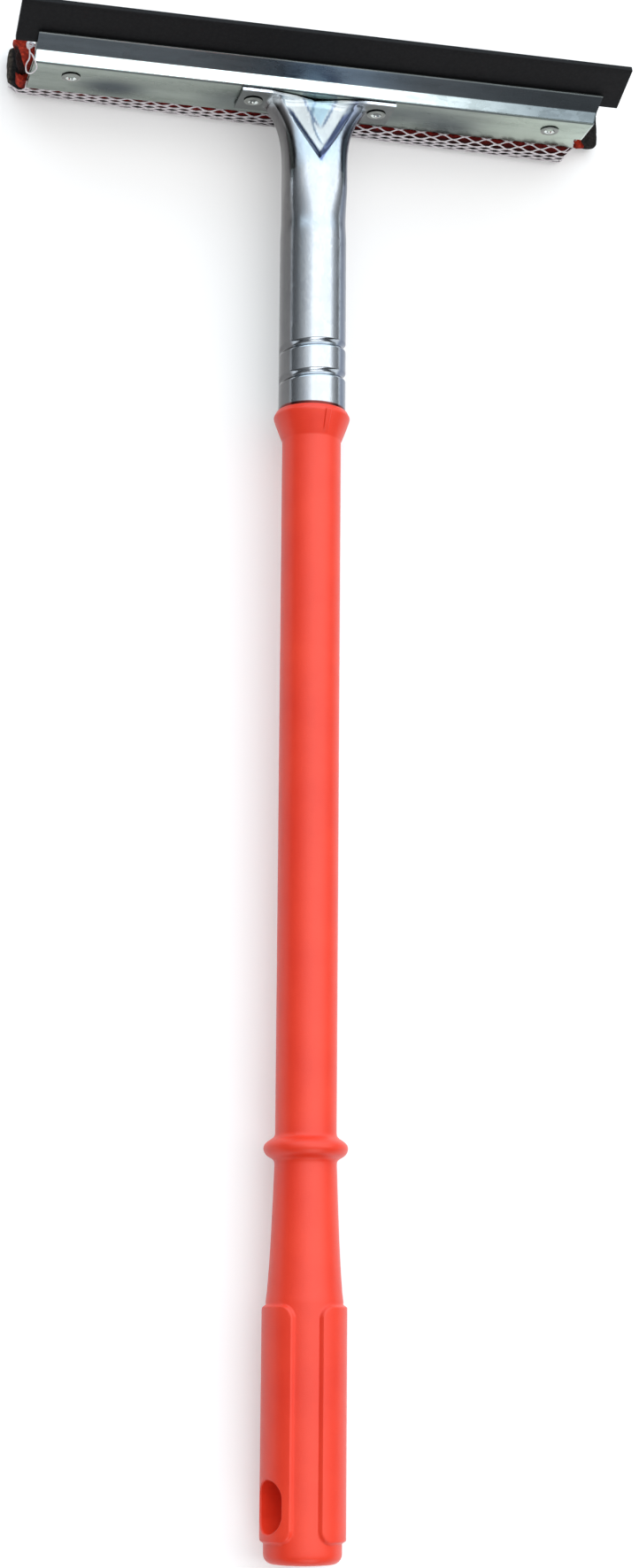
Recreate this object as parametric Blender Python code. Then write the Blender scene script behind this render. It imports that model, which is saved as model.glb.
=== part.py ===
# A windscreen squeegee: hollow plastic handle, pressed steel neck, clamped rubber blade and a foam pad in a net.
# Metres. It is modelled with the handle's axis on Y, the head along X and the blade's side up, and then laid down
# on its grip and its foam. Places along the handle count from the middle of its bead.

import bpy
import bmesh
from math import acos, atan2, ceil, cos, pi, radians, sin
from mathutils import Vector

# Clearances
SEAT_GAP = 0.0003
CUT_OVERRUN = 0.004

# Handle
TUBE_RADIUS = 0.009525
TUBE_WALL = 0.0022
TUBE_LENGTH = 0.2278
COLLAR_HEIGHT = 0.0096
COLLAR_RIM_HEIGHT = 0.0021
COLLAR_RADIUS = 0.01236
COLLAR_TOP_RADIUS = 0.0116
COLLAR_CUP_DEPTH = 0.0006
STUB_OVERLAP = 0.003
BEAD_HEIGHT = 0.0078
BEAD_RADIUS = 0.0131
TAPER_LENGTH = 0.0435
GRIP_RADIUS = 0.0119
PAD_RISE = 0.0012
PAD_EDGE = 0.0010
PAD_CORNER = 0.0045
PAD_LENGTH = 0.0709
PAD_COUNT = 3
PAD_GAP_ANGLE = radians(35.0)
GRIP_TURN = radians(-8.9)
END_LENGTH = 0.0059
END_CORNER = 0.003
HOLE_WIDTH = 0.011
HOLE_LENGTH = 0.0157
HOLE_TO_PAD_END = 0.0031
HOLE_WEB = 0.006
HANDLE_SEGMENTS = 36

# Screw thread of handle and neck, three quarter inch, five turns to the inch
THREAD_LEAD = 0.00508
THREAD_RADIUS = 0.0094
THREAD_DEPTH = 0.0009
THREAD_ROOT_WIDTH = 0.0016
THREAD_MOUTH_WIDTH = 0.0029
STUB_LENGTH = 0.0254
STUB_CHAMFER = 0.0012
STUB_BORE_RADIUS = 0.006
THREAD_SEGMENTS = 24

# Plug in the handle's mouth
PLUG_LENGTH = 0.006
PLUG_FLANGE = 0.0012
PLUG_FLANGE_RADIUS = 0.0072

# Neck
NECK_LENGTH = 0.1074
NECK_RADIUS = 0.0109
NECK_UPPER_RADIUS = 0.01065
NECK_WALL = 0.0009
NECK_STEP_BELOW_SHELF = 0.0452
NECK_STEP_LENGTH = 0.006
GROOVE_TO_RIM = 0.0114
GROOVE_WIDTH = 0.003
GROOVE_DEPTH = 0.0011
GROOVE_COUNT = 2
GROOVE_LEADS_APART = 2
GROOVE_FADE = radians(40.0)
GROOVE_SEAM = radians(-100.0)
FLARE_LENGTH = 0.0256
FLARE_HALF_WIDTH = 0.0164
FLARE_FRONT = 0.008
FLARE_BACK = 0.0055
DENT_LENGTH = 0.0222
DENT_HALF_WIDTH = 0.0125
DENT_DEPTH = 0.0062
EAR_HALF_WIDTH = 0.026
EAR_LIP = 0.0005
EAR_CORNER = 0.002
EAR_SPREAD = radians(47.0)
NECK_SEGMENTS = 40

# Head plates
SHEET = 0.0009
PLATE_LENGTH = 0.1896
SHELF_DEPTH = 0.020
SHELF_AHEAD_OF_AXIS = 0.0094
STEP_WIDTH = 0.0041
STEP_SLOPE = radians(47.7)
FLANGE_WIDTH = 0.0073
BEND_RADIUS = 0.0012
REAR_PLATE_SETBACK = 0.001

# Rivets
RIVET_TO_BEND = 0.0082
RIVET_TO_PLATE_END = 0.0131
RIVET_INNER_X = 0.021
RIVET_SHANK_RADIUS = 0.0015
RIVET_HEAD_RADIUS = 0.0032
RIVET_HEAD_HEIGHT = 0.0008
RIVET_DIMPLE_RADIUS = 0.0013
RIVET_DIMPLE_DEPTH = 0.0010
RIVET_TAIL_RADIUS = 0.0028
RIVET_TAIL_HEIGHT = 0.0011
RIVET_SEGMENTS = 12

# Blade
BLADE_OVERHANG = 0.0068
BLADE_WIDTH = 0.0172
BLADE_THICKNESS = 0.002
BLADE_LEAN = radians(21.5)
BLADE_TO_BEND = 0.0016
BLADE_EDGE = 0.0003

# Foam and net
FOAM_HEIGHT = 0.0162
FOAM_REAR = 0.0197
FOAM_FRONT = 0.0065
FOAM_CORNER = 0.004
FOAM_TOP_CORNER = 0.004
FOAM_NOSE = 0.004
PAD_OVERHANG = 0.0037
SCRUB_OVERHANG = 0.0062
SCRUB_THICKNESS = 0.0045
FOAM_END_LENGTH = 0.009
NET_THICKNESS = 0.0006
NET_OVERHANG = 0.0002
NET_STRAND = 0.0011
NET_PINCH = 0.0017
NET_COLUMNS = 18
NET_ROWS = 16

# Shapes given as shares of the sizes they follow
TAPER_SHARES = ((0.0, 0.02), (0.22, 0.17), (0.49, 0.39), (0.74, 0.60), (1.0, 1.0))
FOAM_END_SHARES = ((0.0, 0.74), (0.12, 0.86), (0.36, 0.95), (1.0, 1.0))
FLARE_POWER = 2.7
EAR_SQUARENESS = 1.4
EAR_FILLET = 0.3
DENT_POWER = 1.8
TAIL_TOP_SHARE = 0.6

# Places that follow from the sizes
collar_base = TUBE_LENGTH
collar_top = collar_base + COLLAR_HEIGHT
stub_top = collar_top + STUB_LENGTH
pads_head_end = -BEAD_HEIGHT / 2 - TAPER_LENGTH
pads_grip_end = pads_head_end - PAD_LENGTH
grip_end = pads_grip_end - END_LENGTH
hole_middle = pads_grip_end + HOLE_TO_PAD_END + HOLE_LENGTH / 2
cup_floor = collar_top - COLLAR_CUP_DEPTH
neck_rim = cup_floor + SEAT_GAP
ear_top = neck_rim + NECK_LENGTH
ear_under = ear_top - NECK_WALL
shelf_level = ear_top + SEAT_GAP
groove_front = neck_rim + GROOVE_TO_RIM
shelf_back = SHELF_AHEAD_OF_AXIS - SHELF_DEPTH
rivet_z = SHELF_AHEAD_OF_AXIS - RIVET_TO_BEND
rivet_outer_x = PLATE_LENGTH / 2 - RIVET_TO_PLATE_END
blade_length = PLATE_LENGTH + 2 * BLADE_OVERHANG
net_length = PLATE_LENGTH + 2 * NET_OVERHANG
pad_half_length = PLATE_LENGTH / 2 + PAD_OVERHANG
scrub_half_length = PLATE_LENGTH / 2 + SCRUB_OVERHANG
pinch_gap = NET_THICKNESS + 2 * SEAT_GAP
rear_shelf = shelf_level + SHEET + pinch_gap
rear_shelf_far = rear_shelf + SHEET
foam_base = shelf_level + SHEET + SEAT_GAP + NET_THICKNESS + SEAT_GAP
foam_seat = rear_shelf_far + RIVET_TAIL_HEIGHT + SEAT_GAP
foam_top = foam_base + FOAM_HEIGHT
net_offset = SEAT_GAP + NET_THICKNESS
contact_y = pads_grip_end + PAD_EDGE
pad_radius = GRIP_RADIUS + PAD_RISE
foam_middle = foam_base + FOAM_HEIGHT / 2
floor_slope = (FOAM_REAR + net_offset - pad_radius) / (foam_middle - contact_y)
lean = atan2(floor_slope, 1.0)
blade_way = Vector((0.0, sin(BLADE_LEAN), cos(BLADE_LEAN)))
blade_depth = Vector((0.0, cos(BLADE_LEAN), -sin(BLADE_LEAN)))


def clear_scene():
    for old in list(bpy.data.objects):
        bpy.data.objects.remove(old, do_unlink=True)


def make_material(name, colour, roughness, metallic=0.0):
    material = bpy.data.materials.new(name)
    material.use_nodes = True
    shader = material.node_tree.nodes["Principled BSDF"]
    shader.inputs["Base Color"].default_value = (*colour, 1.0)
    shader.inputs["Roughness"].default_value = roughness
    shader.inputs["Metallic"].default_value = metallic
    return material


def add_object(name, bm, parent, material=None, smooth=True):
    # Turns a bmesh into an object whose faces point out.
    bmesh.ops.recalc_face_normals(bm, faces=bm.faces)
    mesh = bpy.data.meshes.new(name)
    bm.to_mesh(mesh)
    bm.free()
    if smooth:
        mesh.shade_smooth()
        mesh.set_sharp_from_angle(angle=radians(32.0))
    thing = bpy.data.objects.new(name, mesh)
    bpy.context.scene.collection.objects.link(thing)
    thing.parent = parent
    if material:
        mesh.materials.append(material)
    return thing


def add_cutter(name, bm, parent):
    cutter = add_object(name, bm, parent, smooth=False)
    cutter.hide_render = True
    cutter.display_type = "WIRE"
    return cutter


def add_boolean(thing, cutter, operation):
    boolean = thing.modifiers.new(cutter.name, "BOOLEAN")
    boolean.operation = operation
    boolean.solver = "EXACT"
    boolean.object = cutter


def add_empty(name, parent=None):
    empty = bpy.data.objects.new(name, None)
    bpy.context.scene.collection.objects.link(empty)
    empty.parent = parent
    return empty


def join_rings(bm, rings):
    # Skins neighbouring closed rings of equally many vertices.
    for ring, following in zip(rings, rings[1:]):
        count = len(ring)
        for i in range(count):
            j = (i + 1) % count
            bm.faces.new((ring[i], ring[j], following[j], following[i]))


def turned_solid(profile, segments):
    # Closed solid round the Y axis from (y, radius) pairs; a radius of zero closes it in a point.
    bm = bmesh.new()
    rings = []
    for y, radius in profile:
        if radius == 0:
            rings.append([bm.verts.new((0.0, y, 0.0))])
            continue
        angles = [2 * pi * i / segments for i in range(segments)]
        rings.append([bm.verts.new((radius * sin(a), y, radius * cos(a))) for a in angles])
    for ring, following in zip(rings, rings[1:]):
        for i in range(segments):
            j = (i + 1) % segments
            corners = [ring[i % len(ring)], ring[j % len(ring)]]
            corners += [following[j % len(following)], following[i % len(following)]]
            bm.faces.new(list(dict.fromkeys(corners)))
    for ring in (rings[0], rings[-1]):
        if len(ring) > 2:
            bm.faces.new(ring)
    return bm


def rounded_path(corners, radii, steps):
    # Open path through the corners in the (y, z) plane, each inner corner replaced by an arc.
    points = [Vector(corners[0])]
    for before, corner, after, radius in zip(corners, corners[1:], corners[2:], radii):
        to_before = (Vector(before) - Vector(corner)).normalized()
        to_after = (Vector(after) - Vector(corner)).normalized()
        half = acos(max(-1.0, min(1.0, to_before.dot(to_after)))) / 2
        reach = radius * cos(half) / sin(half)
        middle = Vector(corner) + (to_before + to_after).normalized() * (radius / sin(half))
        start = Vector(corner) + to_before * reach - middle
        finish = Vector(corner) + to_after * reach - middle
        for i in range(steps + 1):
            points.append(middle + start.slerp(finish, i / steps) * radius)
    points.append(Vector(corners[-1]))
    return points


def folded_strip(name, path, half_length, parent, material):
    # Sheet folded along a path in the (y, z) plane, thickened on the side that faces away from the grip.
    bm = bmesh.new()
    left = [bm.verts.new((-half_length, y, z)) for y, z in path]
    edges = [bm.edges.new(pair) for pair in zip(left, left[1:])]
    swept = bmesh.ops.extrude_edge_only(bm, edges=edges)["geom"]
    bmesh.ops.translate(bm, verts=[v for v in swept if isinstance(v, bmesh.types.BMVert)],
                        vec=(2 * half_length, 0.0, 0.0))
    strip = add_object(name, bm, parent, material)
    if sum(face.normal.y for face in strip.data.polygons) > 0:
        strip.data.flip_normals()
    solidify = strip.modifiers.new("sheet", "SOLIDIFY")
    solidify.thickness = SHEET
    solidify.offset = -1.0
    solidify.use_even_offset = True
    return strip


def pin_cutter(name, x, z, radius, parent):
    # Round cutter square to the shelf.
    low, high = ear_under - CUT_OVERRUN, rear_shelf_far + CUT_OVERRUN
    bm = turned_solid([(low, radius), (high, radius)], RIVET_SEGMENTS)
    bmesh.ops.translate(bm, verts=bm.verts, vec=(x, 0.0, z))
    return add_cutter(name, bm, parent)


# Handle
def pad_half_angle(distance, half_width, corner, radius):
    # Half angle of a pad at a distance inside its end, where its corners are round.
    inset = 0.0
    if distance < corner:
        inset = corner - (corner * corner - (corner - distance) ** 2) ** 0.5
    return (half_width - inset) / radius


def grip_ring(bm, y, radius, rise, distance):
    # Ring of vertices round the grip, with columns that follow the pads' edges.
    sector = 2 * pi / PAD_COUNT
    half_width = (sector - PAD_GAP_ANGLE) / 2 * radius
    across = HANDLE_SEGMENTS // PAD_COUNT - 5
    foot = pad_half_angle(max(distance, 0.0), half_width, PAD_CORNER, radius)
    brow = pad_half_angle(max(distance - PAD_EDGE, 0.0), half_width - PAD_EDGE, PAD_CORNER - PAD_EDGE, radius)
    ring = []
    for pad in range(PAD_COUNT):
        gap_middle = GRIP_TURN + pad * sector
        middle = gap_middle + sector / 2
        columns = [(gap_middle, 0.0), (middle - foot, 0.0), (middle - brow, 1.0)]
        columns += [(middle - brow + 2 * brow * (i + 1) / (across + 1), 1.0) for i in range(across)]
        columns += [(middle + brow, 1.0), (middle + foot, 0.0)]
        for angle, lift in columns:
            reach = radius + rise * lift
            ring.append(bm.verts.new((reach * sin(angle), y, reach * cos(angle))))
    return ring


def handle_outline():
    # (y, radius) pairs of the plain part, from the taper up to the floor of the collar's cup.
    profile = []
    for along, rise in reversed(TAPER_SHARES):
        y = -BEAD_HEIGHT / 2 - TAPER_LENGTH * along
        profile.append((y, TUBE_RADIUS + (GRIP_RADIUS - TUBE_RADIUS) * rise))
    bead_steps = 6
    for i in range(1, bead_steps):
        angle = pi * i / bead_steps
        profile.append((-BEAD_HEIGHT / 2 * cos(angle), TUBE_RADIUS + (BEAD_RADIUS - TUBE_RADIUS) * sin(angle)))
    profile.append((BEAD_HEIGHT / 2, TUBE_RADIUS))
    profile.append((collar_base, TUBE_RADIUS))
    dome_steps = 3
    for i in range(dome_steps + 1):
        angle = pi / 2 * i / dome_steps
        radius = COLLAR_TOP_RADIUS + (COLLAR_RADIUS - COLLAR_TOP_RADIUS) * cos(angle)
        profile.append((collar_top - COLLAR_RIM_HEIGHT * (1 - sin(angle)), radius))
    profile.append((collar_top, NECK_RADIUS + SEAT_GAP))
    profile.append((cup_floor, NECK_RADIUS + SEAT_GAP))
    return profile


def handle_body():
    bm = bmesh.new()
    rings = []
    corner_steps = 3
    for i in range(corner_steps + 1):
        angle = pi / 2 * i / corner_steps
        y = grip_end + END_CORNER * (1 - sin(angle))
        rings.append((y, GRIP_RADIUS - END_CORNER * (1 - cos(angle)), 0.0, 0.0))
    rings.sort()
    pad_steps = (0.0, 0.12, 0.35, 0.62, 1.0)
    flanks = []
    for share in pad_steps:
        inside = PAD_EDGE + (PAD_CORNER - PAD_EDGE) * share
        flanks.append((inside, PAD_RISE))
    rings.append((pads_grip_end, GRIP_RADIUS, 0.0, 0.0))
    rings += [(pads_grip_end + inside, GRIP_RADIUS, rise, inside) for inside, rise in flanks]
    rings += [(pads_head_end - inside, GRIP_RADIUS, rise, inside) for inside, rise in reversed(flanks)]
    made = [grip_ring(bm, *ring) for ring in rings]
    for y, radius in handle_outline():
        made.append(grip_ring(bm, y, radius, 0.0, PAD_LENGTH / 2))
    join_rings(bm, made)
    bm.faces.new(made[0])
    bm.faces.new(made[-1])
    return bm


def threaded_stub():
    # Rod whose rows follow the screw line, cut square at both ends.
    bm = bmesh.new()
    low = cup_floor - STUB_OVERLAP
    first = -int(ceil((groove_front - low) / THREAD_LEAD)) - 1
    last = int(ceil((stub_top - groove_front) / THREAD_LEAD)) + 1
    root = THREAD_RADIUS - THREAD_DEPTH
    shapes = ((-THREAD_ROOT_WIDTH / 2, root), (THREAD_ROOT_WIDTH / 2, root),
              (THREAD_MOUTH_WIDTH / 2, THREAD_RADIUS), (THREAD_LEAD - THREAD_MOUTH_WIDTH / 2, THREAD_RADIUS))
    columns = []
    for i in range(THREAD_SEGMENTS):
        angle = -pi + 2 * pi * i / THREAD_SEGMENTS
        column = []
        for turn in range(first, last + 1):
            for along, radius in shapes:
                y = groove_front + along + THREAD_LEAD * (turn + angle / (2 * pi))
                narrow = max(0.0, y - (stub_top - STUB_CHAMFER))
                reach = min(radius, THREAD_RADIUS - narrow)
                column.append(bm.verts.new((reach * sin(angle), y, reach * cos(angle))))
        columns.append(column)
    for i, column in enumerate(columns):
        shift = len(shapes) if i == THREAD_SEGMENTS - 1 else 0
        following = columns[(i + 1) % THREAD_SEGMENTS]
        for j in range(len(column) - 1 - shift):
            bm.faces.new((column[j], following[j + shift], following[j + 1 + shift], column[j + 1]))
    for y, keep_above in ((low, True), (stub_top, False)):
        bmesh.ops.bisect_plane(bm, geom=bm.verts[:] + bm.edges[:] + bm.faces[:], plane_co=(0.0, y, 0.0),
                               plane_no=(0.0, 1.0, 0.0), clear_inner=keep_above, clear_outer=not keep_above)
    bmesh.ops.holes_fill(bm, edges=[edge for edge in bm.edges if edge.is_boundary])
    return bm


def cavity():
    # Hollow of the handle, from its mouth down to the solid web over the hanging hole.
    floor = hole_middle + HOLE_LENGTH / 2 + HOLE_WEB
    wide = GRIP_RADIUS - TUBE_WALL
    narrow = TUBE_RADIUS - TUBE_WALL
    profile = [(floor, wide), (pads_head_end, wide), (-BEAD_HEIGHT / 2, narrow), (collar_base, narrow),
               (collar_top, STUB_BORE_RADIUS), (stub_top + CUT_OVERRUN, STUB_BORE_RADIUS)]
    return turned_solid(profile, THREAD_SEGMENTS)


def hanging_hole():
    # Stadium through the grip, square to its axis, in the middle of one pad.
    bm = bmesh.new()
    radius = HOLE_WIDTH / 2
    straight = HOLE_LENGTH / 2 - radius
    steps = 7
    outline = []
    for side in (1, -1):
        for i in range(steps + 1):
            angle = pi * i / steps
            outline.append((side * (straight + radius * sin(angle)), side * radius * cos(angle)))
    reach = pad_radius + CUT_OVERRUN
    face = bm.faces.new([bm.verts.new((across, along, -reach)) for along, across in outline])
    swept = bmesh.ops.extrude_face_region(bm, geom=[face])["geom"]
    bmesh.ops.translate(bm, verts=[v for v in swept if isinstance(v, bmesh.types.BMVert)], vec=(0.0, 0.0, 2 * reach))
    return bm


def build_handle(parent, red, ivory):
    axis = add_empty("handle_axis", parent)
    handle = add_object("handle", handle_body(), axis, red)
    add_boolean(handle, add_cutter("stub_form", threaded_stub(), axis), "UNION")
    add_boolean(handle, add_cutter("hollow_form", cavity(), axis), "DIFFERENCE")
    hole = add_cutter("hole_form", hanging_hole(), axis)
    hole.location.y = hole_middle
    hole.rotation_euler.y = GRIP_TURN - pi / PAD_COUNT
    add_boolean(handle, hole, "DIFFERENCE")
    low = stub_top + SEAT_GAP
    shank = STUB_BORE_RADIUS - SEAT_GAP
    profile = [(low - PLUG_LENGTH, shank - PLUG_FLANGE / 2), (low - PLUG_LENGTH + PLUG_FLANGE, shank), (low, shank),
               (low, PLUG_FLANGE_RADIUS), (low + PLUG_FLANGE / 2, PLUG_FLANGE_RADIUS),
               (low + PLUG_FLANGE, PLUG_FLANGE_RADIUS - PLUG_FLANGE / 2)]
    add_object("mouth_plug", turned_solid(profile, THREAD_SEGMENTS), axis, ivory)


# Neck
def ease(share):
    share = min(1.0, max(0.0, share))
    return share * share * (3 - 2 * share)


def groove_point(y, depth, angle):
    # Point on the rolled part, where rows climb with the thread and the groove fades out at its seam.
    fade = ease(min(angle - GROOVE_SEAM, GROOVE_SEAM + 2 * pi - angle) / GROOVE_FADE)
    reach = NECK_RADIUS - depth * fade
    return reach * sin(angle), y + THREAD_LEAD * angle / (2 * pi), reach * cos(angle)


def flare_point(y, angle):
    # Point on the upper part, which flattens and spreads into the ears and is dented in front.
    share = min(1.0, max(0.0, (y - (ear_under - FLARE_LENGTH)) / FLARE_LENGTH))
    half = NECK_UPPER_RADIUS + (FLARE_HALF_WIDTH - NECK_UPPER_RADIUS) * share ** FLARE_POWER
    front = NECK_UPPER_RADIUS + (FLARE_FRONT - NECK_UPPER_RADIUS) * ease(share)
    back = NECK_UPPER_RADIUS + (FLARE_BACK - NECK_UPPER_RADIUS) * ease(share)
    x = half * sin(angle)
    z = (front if cos(angle) > 0 else back) * cos(angle)
    dent = min(1.0, (y - (ear_under - DENT_LENGTH)) / DENT_LENGTH)
    spread = DENT_HALF_WIDTH * dent
    if dent > 0 and abs(x) < spread and z > 0:
        shoulder = front * max(0.0, 1 - (spread / half) ** 2) ** 0.5
        middle = NECK_UPPER_RADIUS - DENT_DEPTH * (1 - (1 - dent) ** DENT_POWER)
        z = min(z, middle + (shoulder - middle) * (x / spread) ** 2)
    return x, y, z


def ear_point(angle):
    # Point on the ears' outline, at the same bearing as the neck's wall below it.
    wall = flare_point(ear_under, angle)
    side = min(1.0, abs(wall[0]) / (FLARE_HALF_WIDTH - EAR_CORNER))
    if abs(sin(angle)) > sin(EAR_SPREAD):
        edge = 1 if cos(angle) > 0 else -1
        depth = (FLARE_FRONT if edge > 0 else FLARE_BACK) + EAR_LIP
        share = min(1.0, abs(cos(angle)) / cos(EAR_SPREAD) * EAR_SQUARENESS)
        return (1 if sin(angle) > 0 else -1) * EAR_HALF_WIDTH, ear_under, edge * depth * share
    depth = wall[2] + (EAR_LIP if wall[2] > 0 else -EAR_LIP)
    rim = (FLARE_FRONT + EAR_LIP) if wall[2] > 0 else -(FLARE_BACK + EAR_LIP)
    return wall[0] * (1 + side * EAR_FILLET), ear_under, depth + (rim - depth) * ease(side)


def neck_surface():
    bm = bmesh.new()
    angles = [GROOVE_SEAM + 2 * pi * i / NECK_SEGMENTS for i in range(NECK_SEGMENTS)]
    rows = [[(NECK_RADIUS * sin(a), neck_rim, NECK_RADIUS * cos(a)) for a in angles]]
    groove_shares = ((-0.5, 0.0), (-0.25, 0.5), (0.0, 1.0), (0.25, 0.5), (0.5, 0.0))
    for groove in range(GROOVE_COUNT):
        middle = groove_front + groove * GROOVE_LEADS_APART * THREAD_LEAD
        for along, deep in groove_shares:
            rows.append([groove_point(middle + GROOVE_WIDTH * along, GROOVE_DEPTH * deep, a) for a in angles])
    step_top = shelf_level - NECK_STEP_BELOW_SHELF + NECK_STEP_LENGTH / 2
    above = middle + GROOVE_WIDTH / 2 + THREAD_LEAD
    for y, radius in ((above, NECK_RADIUS), (step_top - NECK_STEP_LENGTH, NECK_RADIUS), (step_top, NECK_UPPER_RADIUS)):
        rows.append([(radius * sin(a), y, radius * cos(a)) for a in angles])
    flare_rows = 10
    for i in range(flare_rows + 1):
        y = ear_under - FLARE_LENGTH * (1 - i / flare_rows)
        rows.append([flare_point(y, a) for a in angles])
    rows.append([ear_point(a) for a in angles])
    rings = [[bm.verts.new(point) for point in row] for row in rows]
    join_rings(bm, rings)
    return bm


def build_neck(parent, steel):
    neck = add_object("neck_socket", neck_surface(), parent, steel)
    outward = sum(face.normal.x * face.center.x + face.normal.z * face.center.z for face in neck.data.polygons)
    if outward < 0:
        neck.data.flip_normals()
    solidify = neck.modifiers.new("wall", "SOLIDIFY")
    solidify.thickness = NECK_WALL
    solidify.offset = -1.0
    solidify.use_even_offset = True
    for side in (-1, 1):
        hole = pin_cutter("ear_hole_form", side * RIVET_INNER_X, rivet_z, RIVET_SHANK_RADIUS + SEAT_GAP, parent)
        add_boolean(neck, hole, "DIFFERENCE")
    return neck


# Head plates, blade and rivets
def plate_corners():
    # Corners of the front plate's near face as (y, z), from the shelf's back edge to the flange's free edge.
    bend_low = Vector((shelf_level, SHELF_AHEAD_OF_AXIS))
    bend_high = bend_low + STEP_WIDTH * Vector((sin(STEP_SLOPE), cos(STEP_SLOPE)))
    rim = bend_high + FLANGE_WIDTH * blade_way.yz
    return [Vector((shelf_level, shelf_back)), bend_low, bend_high, rim]


def build_plates(parent, steel, holes):
    back, bend_low, bend_high, rim = plate_corners()
    path = rounded_path([back, bend_low, bend_high, rim], (BEND_RADIUS, BEND_RADIUS), 3)
    front = folded_strip("front_plate", path, PLATE_LENGTH / 2, parent, steel)
    into = blade_depth.yz * (SHEET + BLADE_THICKNESS + 2 * SEAT_GAP)
    rear_low = Vector((rear_shelf, SHELF_AHEAD_OF_AXIS - pinch_gap))
    rear_high = bend_high + blade_way.yz * (BLADE_TO_BEND - REAR_PLATE_SETBACK) + into
    rear_rim = rim + into
    rear_back = Vector((rear_shelf, shelf_back + REAR_PLATE_SETBACK))
    path = rounded_path([rear_back, rear_low, rear_high, rear_rim], (BEND_RADIUS, BEND_RADIUS), 3)
    rear = folded_strip("rear_plate", path, PLATE_LENGTH / 2, parent, steel)
    for hole in holes:
        add_boolean(front, hole, "DIFFERENCE")
        add_boolean(rear, hole, "DIFFERENCE")


def build_blade(parent, rubber):
    back, bend_low, bend_high, rim = plate_corners()
    bm = bmesh.new()
    start = bend_high + blade_way.yz * BLADE_TO_BEND + blade_depth.yz * (SHEET + SEAT_GAP)
    outline = [(0.0, 0.0), (BLADE_WIDTH - BLADE_EDGE, 0.0), (BLADE_WIDTH, BLADE_EDGE),
               (BLADE_WIDTH, BLADE_THICKNESS - BLADE_EDGE), (BLADE_WIDTH - BLADE_EDGE, BLADE_THICKNESS),
               (0.0, BLADE_THICKNESS)]
    verts = []
    for along, deep in outline:
        y, z = start + blade_way.yz * along + blade_depth.yz * deep
        verts.append(bm.verts.new((-blade_length / 2, y, z)))
    face = bm.faces.new(verts)
    swept = bmesh.ops.extrude_face_region(bm, geom=[face])["geom"]
    bmesh.ops.translate(bm, verts=[v for v in swept if isinstance(v, bmesh.types.BMVert)],
                        vec=(blade_length, 0.0, 0.0))
    add_object("rubber_blade", bm, parent, rubber)


def rivet_profile(near_face):
    # Tubular rivet: dimpled head on the grip's side, shank, and a plain tail under the rear plate.
    head = near_face - SEAT_GAP
    tail = rear_shelf_far + SEAT_GAP
    crown = head - RIVET_HEAD_HEIGHT
    return [(crown + RIVET_DIMPLE_DEPTH, 0.0), (crown + RIVET_HEAD_HEIGHT / 4, RIVET_DIMPLE_RADIUS),
            (crown, (RIVET_DIMPLE_RADIUS + RIVET_HEAD_RADIUS) / 2),
            (crown + RIVET_HEAD_HEIGHT / 2, RIVET_HEAD_RADIUS), (head, RIVET_HEAD_RADIUS),
            (head, RIVET_SHANK_RADIUS), (tail, RIVET_SHANK_RADIUS), (tail, RIVET_TAIL_RADIUS),
            (tail + RIVET_TAIL_HEIGHT - 2 * SEAT_GAP, RIVET_TAIL_RADIUS * TAIL_TOP_SHARE),
            (tail + RIVET_TAIL_HEIGHT - SEAT_GAP, 0.0)]


def build_rivets(parent, steel):
    spots = (("rivet_left_outer", -rivet_outer_x, shelf_level), ("rivet_left_inner", -RIVET_INNER_X, ear_under),
             ("rivet_right_inner", RIVET_INNER_X, ear_under), ("rivet_right_outer", rivet_outer_x, shelf_level))
    for name, x, near_face in spots:
        bm = turned_solid(rivet_profile(near_face), RIVET_SEGMENTS)
        bmesh.ops.translate(bm, verts=bm.verts, vec=(x, 0.0, rivet_z))
        add_object(name, bm, parent, steel)


# Foam and net
def wrap_points(offset):
    # Rows of the net's path as (y, z), at even steps, and moved out from the foam by the offset.
    rear_low = (foam_base, -FOAM_REAR + (foam_middle - foam_base) * floor_slope)
    rear_high = (foam_top, -FOAM_REAR - (foam_top - foam_middle) * floor_slope)
    corners = [(foam_base, shelf_back + NET_PINCH), rear_low, rear_high, (foam_base + FOAM_NOSE, FOAM_FRONT)]
    path = rounded_path(corners, (FOAM_CORNER, FOAM_TOP_CORNER), 16)
    lengths = [0.0]
    for before, after in zip(path, path[1:]):
        lengths.append(lengths[-1] + (after - before).length)
    rows = []
    for i in range(NET_ROWS + 1):
        target = lengths[-1] * i / NET_ROWS
        k = max(j for j in range(len(path) - 1) if lengths[j] <= target or j == 0)
        span = lengths[k + 1] - lengths[k]
        share = (target - lengths[k]) / span if span else 0.0
        rows.append(path[k].lerp(path[k + 1], min(1.0, share)))
    moved = []
    for i, row in enumerate(rows):
        ways = []
        if i > 0:
            ways.append((row - rows[i - 1]).normalized())
        if i < NET_ROWS:
            ways.append((rows[i + 1] - row).normalized())
        outs = [Vector((way.y, -way.x)) for way in ways]
        mean = sum(outs, Vector((0.0, 0.0))).normalized()
        moved.append(row + mean * offset / max(0.5, mean.dot(outs[0])))
    return moved


def clip_outline(points, limit, keep_rear):
    # Part of a closed outline on one side of a height z.
    kept = []
    for i, point in enumerate(points):
        before = points[i - 1]
        inside = (point.y < limit) == keep_rear
        was_inside = (before.y < limit) == keep_rear
        if inside != was_inside:
            share = (limit - before.y) / (point.y - before.y)
            kept.append(before.lerp(point, share))
        if inside:
            kept.append(point)
    return kept


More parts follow.
